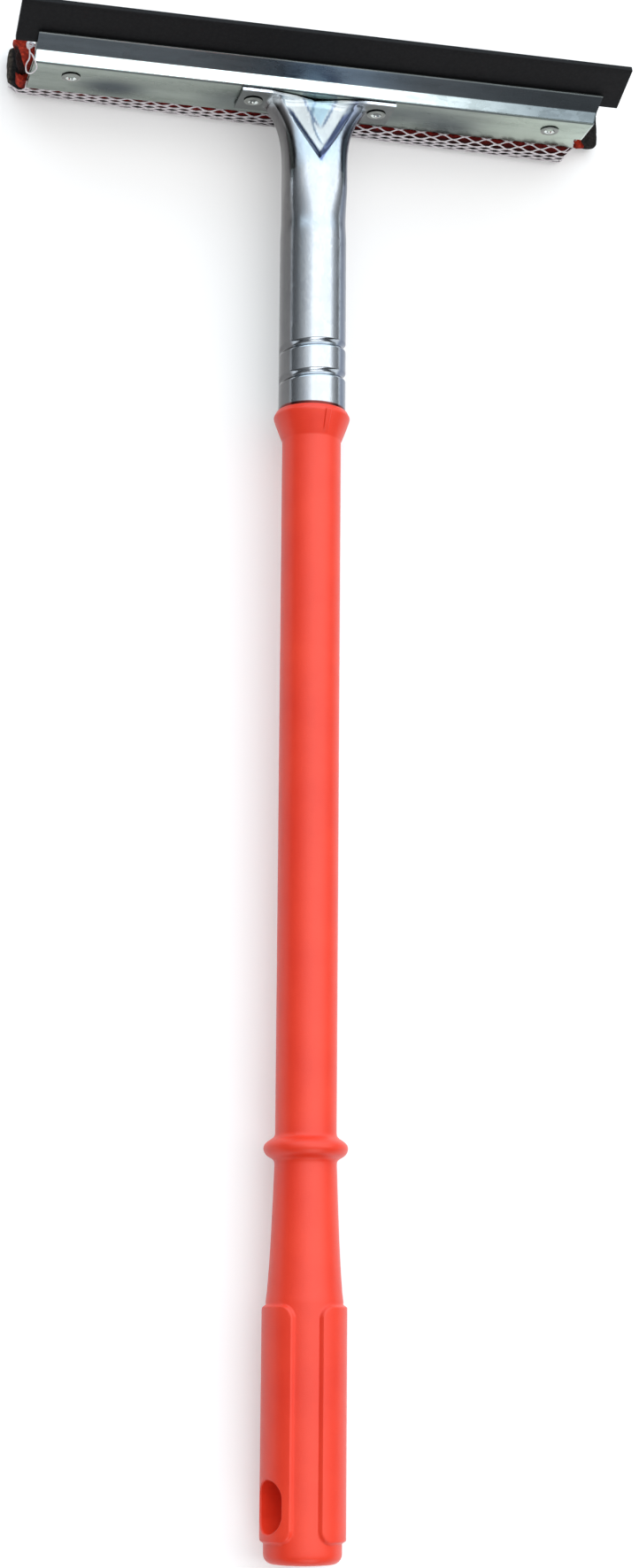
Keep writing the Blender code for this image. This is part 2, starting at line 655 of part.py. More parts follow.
def pillow(outline, half_length):
    # Solid swept along X whose ends draw in towards the section's middle.
    bm = bmesh.new()
    middle = sum(outline, Vector((0.0, 0.0))) / len(outline)
    rings = []
    for side in (-1, 1):
        stations = FOAM_END_SHARES if side < 0 else tuple(reversed(FOAM_END_SHARES))
        for along, size in stations:
            x = side * (half_length - FOAM_END_LENGTH * along)
            ring = [middle + (point - middle) * size for point in outline]
            rings.append([bm.verts.new((x, y, z)) for y, z in ring])
    join_rings(bm, rings)
    bm.faces.new(rings[0])
    bm.faces.new(rings[-1])
    return bm


def build_foam(parent, foam, scrub):
    rows = wrap_points(0.0)
    shelf_end = shelf_back + REAR_PLATE_SETBACK - SEAT_GAP
    wrapped = [Vector((foam_base, shelf_end))] + rows[1:]
    nose = Vector((foam_seat, FOAM_FRONT - (foam_base + FOAM_NOSE - foam_seat)))
    outline = [Vector((foam_seat, shelf_end))] + wrapped + [nose]
    seam = -FOAM_REAR + SCRUB_THICKNESS
    add_object("sponge_pad", pillow(clip_outline(outline, seam + SEAT_GAP / 2, False), pad_half_length), parent, foam)
    add_object("scrub_layer", pillow(clip_outline(outline, seam - SEAT_GAP / 2, True), scrub_half_length), parent, scrub)


def net_surface():
    # Knotless net of staggered diamonds with a closed hem. Knots lie where row and column counts are both even or
    # both odd, and holes lie between them.
    rows = wrap_points(SEAT_GAP)
    row_step = sum((b - a).length for a, b in zip(rows, rows[1:])) / NET_ROWS
    wide = 2 * NET_COLUMNS
    half_pitch = net_length / wide
    keep = 1 - NET_STRAND / 2 * (half_pitch ** 2 + row_step ** 2) ** 0.5 / (half_pitch * row_step)
    bm = bmesh.new()

    def place(across, along):
        k = min(NET_ROWS - 1, max(0, int(along)))
        y, z = rows[k].lerp(rows[k + 1], along - k)
        return bm.verts.new((-net_length / 2 + across * half_pitch, y, z))

    spots = {}
    for r in range(NET_ROWS + 1):
        for k in range(wide + 1):
            if r in (0, NET_ROWS) or k in (0, wide):
                spots[r, k] = [place(k, r)] * 4
            elif (r + k) % 2:
                spots[r, k] = [place(k - keep, r), place(k, r - keep), place(k + keep, r), place(k, r + keep)]
    for r in range(NET_ROWS + 1):
        for k in range(wide + 1):
            if (r + k) % 2:
                continue
            ring = []
            for row, column, facing in ((r, k - 1, 2), (r - 1, k, 3), (r, k + 1, 0), (r + 1, k, 1)):
                if (row, column) in spots:
                    ring.append(spots[row, column][facing])
                elif (r, k) in spots and spots[r, k][0] not in ring:
                    ring.append(spots[r, k][0])
            bm.faces.new(ring)
            over = spots.get((r + 1, k))
            for side, near, far in ((1, 0, 2), (-1, 2, 0)):
                beside = spots.get((r, k + side))
                if over and beside:
                    ring = list(dict.fromkeys((over[1], beside[near], beside[3], over[far])))
                    if len(ring) > 2:
                        bm.faces.new(ring)
    return bm


def build_net(parent, white):
    net = add_object("net_cover", net_surface(), parent, white)
    lowest = min(net.data.polygons, key=lambda face: face.center.z)
    if lowest.normal.z > 0:
        net.data.flip_normals()
    solidify = net.modifiers.new("strand", "SOLIDIFY")
    solidify.thickness = NET_THICKNESS
    solidify.offset = 1.0
    solidify.use_even_offset = True


def settle(root):
    # Lays the tool down on its grip and foam, with its footprint centred on the origin.
    root.rotation_euler.x = lean
    bpy.context.view_layer.update()
    graph = bpy.context.evaluated_depsgraph_get()
    corners = []
    for thing in bpy.data.objects:
        if thing.type == "MESH" and not thing.hide_render:
            shown = thing.evaluated_get(graph)
            corners += [shown.matrix_world @ v.co for v in shown.to_mesh().vertices]
            shown.to_mesh_clear()
    low = Vector([min(c[i] for c in corners) for i in range(3)])
    high = Vector([max(c[i] for c in corners) for i in range(3)])
    root.location = (-(low.x + high.x) / 2, -(low.y + high.y) / 2, -low.z)
    bpy.context.view_layer.update()
    print("size", [round(v, 5) for v in high - low])
    print("row place of the bead's middle", [round(v, 6) for v in root.matrix_world.translation], "lean", lean)
    return root


def main():
    clear_scene()
    root = add_empty("squeegee")
    red = make_material("red_plastic", (0.84, 0.06, 0.025), 0.38)
    ivory = make_material("plug_plastic", (0.75, 0.72, 0.62), 0.5)
    steel = make_material("galvanised_steel", (0.62, 0.65, 0.65), 0.35, 1.0)
    rubber = make_material("black_rubber", (0.015, 0.015, 0.016), 0.55)
    foam = make_material("red_foam", (0.45, 0.035, 0.02), 0.95)
    scrub = make_material("dark_foam", (0.03, 0.025, 0.022), 0.9)
    white = make_material("net_thread", (0.85, 0.82, 0.82), 0.6)
    build_handle(root, red, ivory)
    build_neck(root, steel)
    spots = (-rivet_outer_x, -RIVET_INNER_X, RIVET_INNER_X, rivet_outer_x)
    holes = [pin_cutter("plate_hole_form", x, rivet_z, RIVET_SHANK_RADIUS + SEAT_GAP, root) for x in spots]
    build_plates(root, steel, holes)
    build_blade(root, rubber)
    build_rivets(root, steel)
    build_foam(root, foam, scrub)
    build_net(root, white)
    settle(root)


main()
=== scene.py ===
import bpy
from math import asin, atan2, cos, pi, radians, sin, sqrt
from mathutils import Matrix, Vector, noise


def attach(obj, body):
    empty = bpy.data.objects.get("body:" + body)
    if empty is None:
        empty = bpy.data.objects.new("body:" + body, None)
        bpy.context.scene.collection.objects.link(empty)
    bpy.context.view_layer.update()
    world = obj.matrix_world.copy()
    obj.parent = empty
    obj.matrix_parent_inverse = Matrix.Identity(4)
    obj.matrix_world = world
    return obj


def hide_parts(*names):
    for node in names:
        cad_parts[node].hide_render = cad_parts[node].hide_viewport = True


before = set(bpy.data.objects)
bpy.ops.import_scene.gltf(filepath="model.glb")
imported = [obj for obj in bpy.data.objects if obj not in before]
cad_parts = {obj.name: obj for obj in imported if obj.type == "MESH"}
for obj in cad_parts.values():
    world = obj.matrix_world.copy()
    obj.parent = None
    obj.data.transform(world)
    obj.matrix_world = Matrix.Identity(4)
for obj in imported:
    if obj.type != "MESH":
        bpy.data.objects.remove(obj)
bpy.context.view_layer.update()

# Everything is modelled with the handle on Y and the bead's middle at the origin, in millimetres,
# and then laid down on the grip and the foam, as the frame has it.
beadPlace = (0.0, -0.11880111694335938, 0.014967633411288261)
handleTilt = 0.015878402879971002
millimetre = 0.001
layDown = Matrix.Translation(beadPlace) @ Matrix.Rotation(handleTilt, 4, "X") @ Matrix.Scale(millimetre, 4)


def ease(share):
    share = min(1.0, max(0.0, share))
    return share * share * (3 - 2 * share)


def rising(value, start, length):
    # 0 up to the start, 1 past it by the length, eased between.
    return ease((value - start) / length)


def falling(value, start, length):
    # 0 from the start up, 1 below it by the length, eased between.
    return ease((start - value) / length)


def deselectAll():
    if bpy.context.object and bpy.context.object.mode != "OBJECT":
        bpy.ops.object.mode_set(mode="OBJECT")
    bpy.ops.object.select_all(action="DESELECT")


def pick(piece):
    deselectAll()
    piece.select_set(True)
    bpy.context.view_layer.objects.active = piece


def nameNew(name):
    piece = bpy.context.object
    bpy.ops.object.transform_apply(location=True, rotation=True, scale=True)
    piece.name = name
    piece.data.name = name
    return piece


def applyAll(piece):
    pick(piece)
    for modifier in list(piece.modifiers):
        bpy.ops.object.modifier_apply(modifier=modifier.name)


def turnedPiece(name, profile, sides):
    # Rings round the Y axis from (y, radius) pairs, closed at both ends.
    deselectAll()
    y, radius = profile[0]
    bpy.ops.mesh.primitive_circle_add(vertices=sides, radius=radius, fill_type="NGON", location=(0, y, 0),
                                      rotation=(-pi / 2, 0, 0))
    piece = nameNew(name)
    bpy.ops.object.mode_set(mode="EDIT")
    bpy.ops.mesh.select_mode(type="EDGE")
    bpy.ops.mesh.select_all(action="SELECT")
    for nextY, nextRadius in profile[1:]:
        bpy.ops.mesh.extrude_edges_move(TRANSFORM_OT_translate={"value": (0, nextY - y, 0)})
        ratio = nextRadius / radius
        bpy.ops.transform.resize(value=(ratio, 1, ratio), center_override=(0, nextY, 0))
        y, radius = nextY, nextRadius
    bpy.ops.mesh.edge_face_add()
    bpy.ops.mesh.select_all(action="SELECT")
    bpy.ops.mesh.normals_make_consistent(inside=False)
    bpy.ops.object.mode_set(mode="OBJECT")
    return piece


def shapedGrid(name, columns, rows, place, closed=False):
    # A grid of columns by rows whose corners are moved to place(column share, row share).
    deselectAll()
    bpy.ops.mesh.primitive_grid_add(x_subdivisions=columns, y_subdivisions=rows, size=2)
    piece = nameNew(name)
    for vertex in piece.data.vertices:
        vertex.co = place((vertex.co.x + 1) / 2, (vertex.co.y + 1) / 2)
    if closed:
        pick(piece)
        bpy.ops.object.mode_set(mode="EDIT")
        bpy.ops.mesh.select_all(action="SELECT")
        bpy.ops.mesh.remove_doubles(threshold=0.001)
        bpy.ops.mesh.normals_make_consistent(inside=False)
        bpy.ops.object.mode_set(mode="OBJECT")
    return piece


def closeEnds(piece):
    # Caps over a tube's open ends, with all faces outward.
    pick(piece)
    bpy.ops.object.mode_set(mode="EDIT")
    bpy.ops.mesh.select_all(action="DESELECT")
    bpy.ops.mesh.select_mode(type="EDGE")
    bpy.ops.mesh.select_non_manifold()
    bpy.ops.mesh.fill_holes(sides=0)
    bpy.ops.mesh.select_all(action="SELECT")
    bpy.ops.mesh.normals_make_consistent(inside=False)
    bpy.ops.object.mode_set(mode="OBJECT")
    return piece


def boxPiece(name, low, high):
    deselectAll()
    middle = [(a + b) / 2 for a, b in zip(low, high)]
    bpy.ops.mesh.primitive_cube_add(size=1, location=middle)
    bpy.context.object.scale = [b - a for a, b in zip(low, high)]
    return nameNew(name)


def cutAway(piece, cutter):
    cut = piece.modifiers.new("cut", "BOOLEAN")
    cut.operation = "DIFFERENCE"
    cut.solver = "EXACT"
    cut.object = cutter
    applyAll(piece)
    bpy.data.objects.remove(cutter, do_unlink=True)


def bevelEdges(piece, width, segments):
    edge = piece.modifiers.new("edge", "BEVEL")
    edge.width = width
    edge.segments = segments
    edge.limit_method = "ANGLE"
    edge.angle_limit = radians(60)
    applyAll(piece)


def finishPiece(piece, body, slot, material, angle=35):
    pick(piece)
    bpy.ops.object.shade_smooth_by_angle(angle=radians(angle))
    piece.data.transform(layDown)
    piece.data.materials.clear()
    piece.data.materials.append(material)
    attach(piece, body)
    return piece


# Node groups shared by the materials
def newGroup(name, inputs, outputs):
    group = bpy.data.node_groups.new(name, "ShaderNodeTree")
    for label, kind, value in inputs:
        socket = group.interface.new_socket(name=label, in_out="INPUT", socket_type=kind)
        socket.default_value = value
    for label, kind in outputs:
        group.interface.new_socket(name=label, in_out="OUTPUT", socket_type=kind)
    return group, group.nodes.new("NodeGroupInput"), group.nodes.new("NodeGroupOutput")


def addNode(tree, kind, inputs=None, **settings):
    node = tree.nodes.new(kind)
    for key, value in settings.items():
        setattr(node, key, value)
    for key, value in (inputs or {}).items():
        if isinstance(value, bpy.types.NodeSocket):
            tree.links.new(value, node.inputs[key])
        else:
            node.inputs[key].default_value = value
    return node


def combine(tree, operation, first, second, **settings):
    return addNode(tree, "ShaderNodeMath", {0: first, 1: second}, operation=operation, **settings).outputs[0]


def stretchedPlace(group, start):
    # Object coordinates times the group's Stretch.
    where = addNode(group, "ShaderNodeTexCoord")
    stretched = addNode(group, "ShaderNodeVectorMath",
                        {0: where.outputs["Object"], 1: start.outputs["Stretch"]}, operation="MULTIPLY")
    return stretched.outputs[0]


def buildSpeckle():
    # Noise at one scale, spread between two values.
    inputs = (("Scale", "NodeSocketFloat", 400.0), ("Stretch", "NodeSocketVector", (1, 1, 1)),
              ("Low", "NodeSocketFloat", 0.35), ("High", "NodeSocketFloat", 0.65))
    group, start, end = newGroup("speckle", inputs, (("Value", "NodeSocketFloat"),))
    grain = addNode(group, "ShaderNodeTexNoise", {"Vector": stretchedPlace(group, start), "Detail": 4.0,
                                                  "Scale": start.outputs["Scale"], "Roughness": 0.55})
    spread = addNode(group, "ShaderNodeMapRange", {"Value": grain.outputs[0],
                                                   "From Min": start.outputs["Low"],
                                                   "From Max": start.outputs["High"]})
    group.links.new(spread.outputs[0], end.inputs["Value"])
    return group


def buildSpangle():
    # Crystals of a zinc coat: flat cells of different brightness with soft borders.
    inputs = (("Scale", "NodeSocketFloat", 220.0), ("Stretch", "NodeSocketVector", (1, 1, 1)))
    group, start, end = newGroup("spangle", inputs, (("Value", "NodeSocketFloat"),))
    place, scale = stretchedPlace(group, start), start.outputs["Scale"]
    warp = addNode(group, "ShaderNodeTexNoise", {"Vector": place, "Scale": scale, "Detail": 2.0})
    moved = addNode(group, "ShaderNodeVectorMath", {0: warp.outputs["Color"], 1: (0.004, 0.004, 0.004)},
                    operation="MULTIPLY")
    added = addNode(group, "ShaderNodeVectorMath", {0: place, 1: moved.outputs[0]}, operation="ADD")
    cells = addNode(group, "ShaderNodeTexVoronoi",
                    {"Vector": added.outputs[0], "Scale": scale, "Smoothness": 0.4}, feature="SMOOTH_F1")
    tone = addNode(group, "ShaderNodeSeparateColor", {"Color": cells.outputs["Color"]})
    group.links.new(tone.outputs[0], end.inputs["Value"])
    return group


speckle = buildSpeckle()
spangle = buildSpangle()


def newMaterial(name):
    material = bpy.data.materials.new(name)
    material.use_nodes = True
    return material, material.node_tree, material.node_tree.nodes["Principled BSDF"]


def useGroup(tree, group, **inputs):
    node = tree.nodes.new("ShaderNodeGroup")
    node.node_tree = group
    for key, value in inputs.items():
        node.inputs[key].default_value = value
    return node.outputs[0]


def mixColours(tree, share, first, second):
    node = addNode(tree, "ShaderNodeMix", data_type="RGBA")
    for socket, value in ((node.inputs[0], share), (node.inputs[6], first), (node.inputs[7], second)):
        if isinstance(value, bpy.types.NodeSocket):
            tree.links.new(value, socket)
        else:
            socket.default_value = (*value, 1.0) if isinstance(value, tuple) else value
    return node.outputs[2]


def spreadValue(tree, value, low, high):
    node = addNode(tree, "ShaderNodeMapRange", {"Value": value, "To Min": low, "To Max": high})
    return node.outputs[0]


def bumpNormal(tree, height, strength, distance):
    node = addNode(tree, "ShaderNodeBump", {"Height": height, "Strength": strength, "Distance": distance})
    return node.outputs["Normal"]


def paintedOver(tree, painted, tone):
    # The colour times the tone painted on the piece.
    product = addNode(tree, "ShaderNodeMix", data_type="RGBA", blend_type="MULTIPLY")
    product.inputs[0].default_value = 1.0
    tree.links.new(tone, product.inputs[6])
    tree.links.new(painted.outputs["Color"], product.inputs[7])
    return product.outputs[2]


def buildPlastic(name, look):
    material, tree, shader = newMaterial(name)
    broad = useGroup(tree, speckle, Scale=look["blotchScale"], Low=0.3, High=0.7)
    fine = useGroup(tree, speckle, Scale=look["grainScale"], Low=0.2, High=0.8)
    tree.links.new(mixColours(tree, broad, look["dark"], look["light"]), shader.inputs["Base Color"])
    tree.links.new(spreadValue(tree, fine, look["smooth"], look["rough"]), shader.inputs["Roughness"])
    tree.links.new(bumpNormal(tree, fine, look["bump"], 0.0001), shader.inputs["Normal"])
    shader.inputs["Specular IOR Level"].default_value = look["specular"]
    return material


def buildSteel(name, look):
    # Zinc coat: small crystals, long streaks and stains, under the tone of painted light, shade and
    # reflections and the metal share painted on the piece.
    material, tree, shader = newMaterial(name)
    cells = useGroup(tree, spangle, Scale=look["cellScale"], Stretch=look["stretch"])
    streaks = useGroup(tree, speckle, Scale=look["streakScale"], Stretch=look["streakWay"], Low=0.38,
                       High=0.68)
    darkPatches = useGroup(tree, speckle, Scale=look["stainScale"], Stretch=look["streakWay"], Low=0.5, High=0.75)
    fine = useGroup(tree, speckle, Scale=2600.0, Low=0.2, High=0.8)
    tone = mixColours(tree, spreadValue(tree, cells, 0.0, look["cellShare"]), look["light"], look["dark"])
    tone = mixColours(tree, spreadValue(tree, streaks, 0.0, look["streakShare"]), tone, look["streak"])
    tone = mixColours(tree, spreadValue(tree, darkPatches, 0.0, look["stainShare"]), tone, look["stain"])
    painted = addNode(tree, "ShaderNodeAttribute", attribute_name="tone")
    tree.links.new(paintedOver(tree, painted, tone), shader.inputs["Base Color"])
    shader.inputs["Metallic"].default_value = 1.0
    tree.links.new(painted.outputs["Alpha"], shader.inputs["Metallic"])
    rough = combine(tree, "MULTIPLY", cells, streaks)
    tree.links.new(spreadValue(tree, rough, look["smooth"], look["rough"]), shader.inputs["Roughness"])
    height = combine(tree, "ADD", fine, cells)
    tree.links.new(bumpNormal(tree, height, look["bump"], 0.0001), shader.inputs["Normal"])
    return material


def buildSoft(name, look):
    # Foam, rubber and thread: cells or grain as bump, with painted shade in the pores, and where asked a
    # painted tone of light and shade.
    material, tree, shader = newMaterial(name)
    where = addNode(tree, "ShaderNodeTexCoord")
    cells = addNode(tree, "ShaderNodeTexVoronoi", {"Vector": where.outputs["Object"],
                                                   "Scale": look["cellScale"], "Randomness": 1.0})
    fine = useGroup(tree, speckle, Scale=look["grainScale"], Low=0.25, High=0.75)
    height = combine(tree, "MULTIPLY", spreadValue(tree, cells.outputs["Distance"], 1.0, 0.0), fine)
    tone = mixColours(tree, height, look["dark"], look["light"])
    if look["toned"]:
        tone = paintedOver(tree, addNode(tree, "ShaderNodeAttribute", attribute_name="tone"), tone)
    tree.links.new(tone, shader.inputs["Base Color"])
    tree.links.new(bumpNormal(tree, height, look["bump"], look["depth"]), shader.inputs["Normal"])
    tree.links.new(spreadValue(tree, fine, look["smooth"], look["rough"]), shader.inputs["Roughness"])
    shader.inputs["Specular IOR Level"].default_value = look["specular"]
    return material


redPlastic = buildPlastic("redPlastic", {
    "dark": (0.78, 0.035, 0.012), "light": (0.86, 0.05, 0.018), "blotchScale": 45.0, "grainScale": 3200.0,
    "smooth": 0.33, "rough": 0.42, "bump": 0.25, "specular": 0.5})
ivoryPlastic = buildPlastic("ivoryPlastic", {
    "dark": (0.6, 0.56, 0.44), "light": (0.72, 0.68, 0.56), "blotchScale": 120.0, "grainScale": 2600.0,
    "smooth": 0.45, "rough": 0.6, "bump": 0.3, "specular": 0.5})
neckSteel = buildSteel("neckSteel", {
    "cellScale": 620.0, "stretch": (1.0, 0.6, 1.0), "cellShare": 0.45, "streakScale": 160.0,
    "streakWay": (1.0, 0.12, 1.0), "streakShare": 0.3, "stainScale": 60.0, "stainShare": 0.25,
    "light": (0.5, 0.55, 0.6), "dark": (0.38, 0.42, 0.48), "streak": (0.31, 0.35, 0.41),
    "stain": (0.3, 0.3, 0.3), "smooth": 0.14, "rough": 0.3, "bump": 0.1})
plateSteel = buildSteel("plateSteel", {
    "cellScale": 480.0, "stretch": (0.6, 1.0, 1.0), "cellShare": 0.4, "streakScale": 170.0,
    "streakWay": (0.1, 1.0, 1.0), "streakShare": 0.5, "stainScale": 55.0, "stainShare": 0.5,
    "light": (0.47, 0.51, 0.49), "dark": (0.38, 0.42, 0.4), "streak": (0.27, 0.3, 0.28),
    "stain": (0.17, 0.19, 0.19), "smooth": 0.2, "rough": 0.42, "bump": 0.12})
rivetSteel = buildSteel("rivetSteel", {
    "cellScale": 900.0, "stretch": (1.0, 1.0, 1.0), "cellShare": 0.4, "streakScale": 500.0,
    "streakWay": (1.0, 1.0, 1.0), "streakShare": 0.3, "stainScale": 300.0, "stainShare": 0.4,
    "light": (0.32, 0.34, 0.33), "dark": (0.24, 0.26, 0.25), "streak": (0.22, 0.24, 0.24),
    "stain": (0.12, 0.12, 0.12), "smooth": 0.14, "rough": 0.3, "bump": 0.1})
blackRubber = buildSoft("blackRubber", {
    "cellScale": 900.0, "grainScale": 1500.0, "dark": (0.006, 0.006, 0.007), "light": (0.014, 0.014, 0.015),
    "bump": 0.2, "depth": 0.0001, "smooth": 0.5, "rough": 0.66, "specular": 0.12, "toned": False})
redFoam = buildSoft("redFoam", {
    "cellScale": 1100.0, "grainScale": 700.0, "dark": (0.12, 0.006, 0.004), "light": (0.62, 0.045, 0.02),
    "bump": 0.9, "depth": 0.0005, "smooth": 0.8, "rough": 1.0, "specular": 0.2, "toned": True})
darkFoam = buildSoft("darkFoam", {
    "cellScale": 1000.0, "grainScale": 600.0, "dark": (0.008, 0.007, 0.006), "light": (0.13, 0.108, 0.09),
    "bump": 0.9, "depth": 0.0005, "smooth": 0.8, "rough": 1.0, "specular": 0.25, "toned": True})
whiteThread = buildSoft("whiteThread", {
    "cellScale": 2400.0, "grainScale": 900.0, "dark": (0.8, 0.75, 0.78), "light": (0.96, 0.92, 0.95),
    "bump": 0.5, "depth": 0.0002, "smooth": 0.5, "rough": 0.7, "specular": 0.4, "toned": False})
print("materials ready")

# Handle: one moulding, turned, with pads, thread, hanging hole and a rib on its collar
handle = {
    "sides": 240, "end": -124.1, "endRadius": 8.9, "endRows": 6, "plain": 11.9, "tube": 9.525, "tubeRows": 24,
    "padStart": -118.2, "padStop": -47.3, "padRise": 1.2, "padEdge": 1.1, "padCorner": 4.5, "padCount": 3,
    "padGap": radians(35.0), "turn": radians(-8.9), "cornerRows": 22, "cornerSpare": 0.6, "padRows": 40,
    "taper": ((-46.6, 11.93), (-45.6, 11.8), (-44.0, 11.6), (-40.0, 11.27), (-36.1, 10.98), (-31.0, 10.7),
              (-25.1, 10.42), (-19.5, 10.18), (-14.2, 9.98), (-10.0, 9.83), (-7.0, 9.72), (-5.4, 9.66)),
    "bead": ((-4.6, 9.67), (-4.1, 9.78), (-3.7, 10.0), (-3.4, 10.3), (-3.1, 10.75), (-2.8, 11.3),
             (-2.4, 11.9), (-1.9, 12.42), (-1.3, 12.8), (-0.7, 13.02), (-0.1, 13.1), (0.5, 13.02),
             (1.0, 12.8), (1.5, 12.4), (1.95, 11.9), (2.3, 11.4), (2.65, 10.85), (3.0, 10.35), (3.3, 10.02),
             (3.7, 9.75), (4.1, 9.6)),
    "beadTop": 4.7, "collarBase": 227.4,
    "collar": ((227.75, 9.55), (228.0, 9.66), (228.4, 9.83), (229.2, 10.15), (230.2, 10.53), (231.2, 10.91),
               (232.2, 11.28), (233.2, 11.65), (234.2, 12.0), (234.8, 12.2), (235.15, 12.3), (235.4, 12.35),
               (235.65, 12.35), (235.9, 12.28), (236.2, 12.13), (236.5, 11.97), (236.8, 11.82),
               (237.05, 11.7), (237.25, 11.57), (237.36, 11.44), (237.4, 11.33), (237.34, 11.24),
               (237.15, 11.2)),
    "cupFloor": 236.8, "stubTop": 262.8, "bore": 6.0, "boreFloor": 253.0, "chamfer": 1.2, "threadRows": 84,
    "threadRadius": 9.4, "threadDepth": 0.9, "lead": 5.08, "threadStart": 248.5, "rootHalf": 0.8,
    "mouthHalf": 1.45,
    "ribAngle": radians(12.6), "ribWidth": 1.8, "ribRise": 0.5, "ribLow": 228.6, "ribHigh": 235.6,
    "ribFrom": 9.6, "ribRadius": 12.0, "ribEdge": 0.45, "ribRunIn": 1.2,
    "holeWidth": 11.0, "holeLength": 15.7, "holeMiddle": -107.25, "holeSides": 96,
    "holeSurfaces": (12.2, 13.1),
    "holeMouth": ((-20.0, 0.0), (-0.8, 0.0), (-0.6, 0.02), (-0.42, 0.07), (-0.26, 0.15), (-0.12, 0.27),
                  (0.0, 0.42), (1.5, 0.6)),
}


def straightRows(low, high, steps, radius):
    return [(low + (high - low) * i / steps, radius) for i in range(steps + 1)]


def handleProfile():
    spec = handle
    plain, rounding = spec["plain"], spec["plain"] - spec["endRadius"]
    rows = [(spec["end"], spec["endRadius"])]
    for i in range(1, spec["endRows"] + 1):
        angle = pi / 2 * i / spec["endRows"]
        rows.append((spec["end"] + rounding * (1 - cos(angle)), spec["endRadius"] + rounding * sin(angle)))
    rows += [(spec["padStart"] - 1.4, plain), (spec["padStart"] - 0.4, plain)]
    reach = spec["padCorner"] + spec["cornerSpare"]
    low, high = spec["padStart"] + reach, spec["padStop"] - reach
    rows += straightRows(spec["padStart"], low, spec["cornerRows"], plain)
    rows += straightRows(low, high, spec["padRows"], plain)[1:-1]
    rows += straightRows(high, spec["padStop"], spec["cornerRows"], plain)
    rows += [*spec["taper"], *spec["bead"]]
    rows += straightRows(spec["beadTop"], spec["collarBase"], spec["tubeRows"], spec["tube"])
    cup, top = spec["cupFloor"], spec["stubTop"]
    rows += [*spec["collar"], (cup + 0.1, 11.18), (cup, 11.0), (cup, 9.6)]
    rows += straightRows(cup + 0.1, top - spec["chamfer"], spec["threadRows"], spec["threadRadius"])
    rows += [(top - 0.6, spec["threadRadius"] - 0.6), (top, spec["threadRadius"] - spec["chamfer"]),
             (top, spec["bore"] + 0.15), (top - 0.15, spec["bore"]), (spec["boreFloor"], spec["bore"])]
    return rows


def padShare(y, angle):
    # 1 on a pad's face, 0 between the pads, with round corners and an eased edge.
    spec = handle
    sector = 2 * pi / spec["padCount"]
    away = (angle - spec["turn"]) % sector - sector / 2
    acrossHalf = (sector - spec["padGap"]) / 2 * spec["plain"]
    alongHalf = (spec["padStop"] - spec["padStart"]) / 2
    across = acrossHalf - abs(away) * spec["plain"]
    along = alongHalf - abs(y - (spec["padStop"] + spec["padStart"]) / 2)
    inside = min(across, along)
    corner = spec["padCorner"]
    if across < corner and along < corner:
        inside = corner - sqrt((corner - across) ** 2 + (corner - along) ** 2)
    return ease(inside / spec["padEdge"])


def threadShare(y, angle):
    spec = handle
    phase = (y - spec["threadStart"] - spec["lead"] * angle / (2 * pi)) % spec["lead"]
    away = min(phase, spec["lead"] - phase)
    return 1 - ease((away - spec["rootHalf"]) / (spec["mouthHalf"] - spec["rootHalf"]))


def shapeHandle(piece):
    spec = handle
    root = spec["threadRadius"] - spec["threadDepth"]
    for vertex in piece.data.vertices:
        x, y, z = vertex.co
        radius, angle = sqrt(x * x + z * z), atan2(x, z)
        rise = 0.0
        if y < spec["padStop"] and radius > spec["plain"] - 0.05:
            rise = spec["padRise"] * padShare(y, angle)
        if spec["ribLow"] < y < spec["ribHigh"] and radius > spec["ribFrom"]:
            away = abs(angle - spec["ribAngle"]) * spec["ribRadius"]
            across = ease((spec["ribWidth"] / 2 - away) / spec["ribEdge"] + 0.5)
            rise += spec["ribRise"] * across * rising(y, spec["ribLow"], spec["ribRunIn"])
        onThread = abs(radius - spec["threadRadius"]) < 0.7
        if onThread and spec["cupFloor"] < y < spec["stubTop"] - 0.3:
            rise -= min(spec["threadDepth"] * threadShare(y, angle), max(0.0, radius - root))
        vertex.co.x += rise * x / radius
        vertex.co.z += rise * z / radius


def holeCutter():
    # Stadium through the grip whose mouth opens out softly, following the grip's round surface.
    spec = handle
    half = spec["holeWidth"] / 2
    straight = spec["holeLength"] / 2 - half
    gapSurface, padSurface = spec["holeSurfaces"]
    rows = [(-1, gapSurface, rise, grow) for rise, grow in reversed(spec["holeMouth"])]
    rows += [(1, padSurface, rise, grow) for rise, grow in spec["holeMouth"]]

    def place(across, along):
        angle = 2 * pi * across
        side, surface, rise, grow = rows[min(len(rows) - 1, round(along * (len(rows) - 1)))]
        x = (half + grow) * cos(angle)
        y = (half + grow) * sin(angle) + straight * (1 if sin(angle) >= 0 else -1)
        if abs(sin(angle)) < 0.02:
            y = 0.0
        z = side * max(0.5, sqrt(max(1.0, surface ** 2 - x * x)) + rise)
        return Vector((x, y, z))

    cutter = closeEnds(shapedGrid("holeForm", spec["holeSides"], len(rows) - 1, place, closed=True))
    turn = Matrix.Rotation(spec["turn"] - pi / spec["padCount"], 4, "Y")
    cutter.data.transform(Matrix.Translation((0, spec["holeMiddle"], 0)) @ turn)
    return cutter


def buildHandle():
    piece = turnedPiece("handleMoulding", handleProfile(), handle["sides"])
    shapeHandle(piece)
    cutAway(piece, holeCutter())
    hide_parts("handle")
    return finishPiece(piece, "handle", "handle_plastic", redPlastic, 40)


handleMoulding = buildHandle()
print("handle", len(handleMoulding.data.polygons))

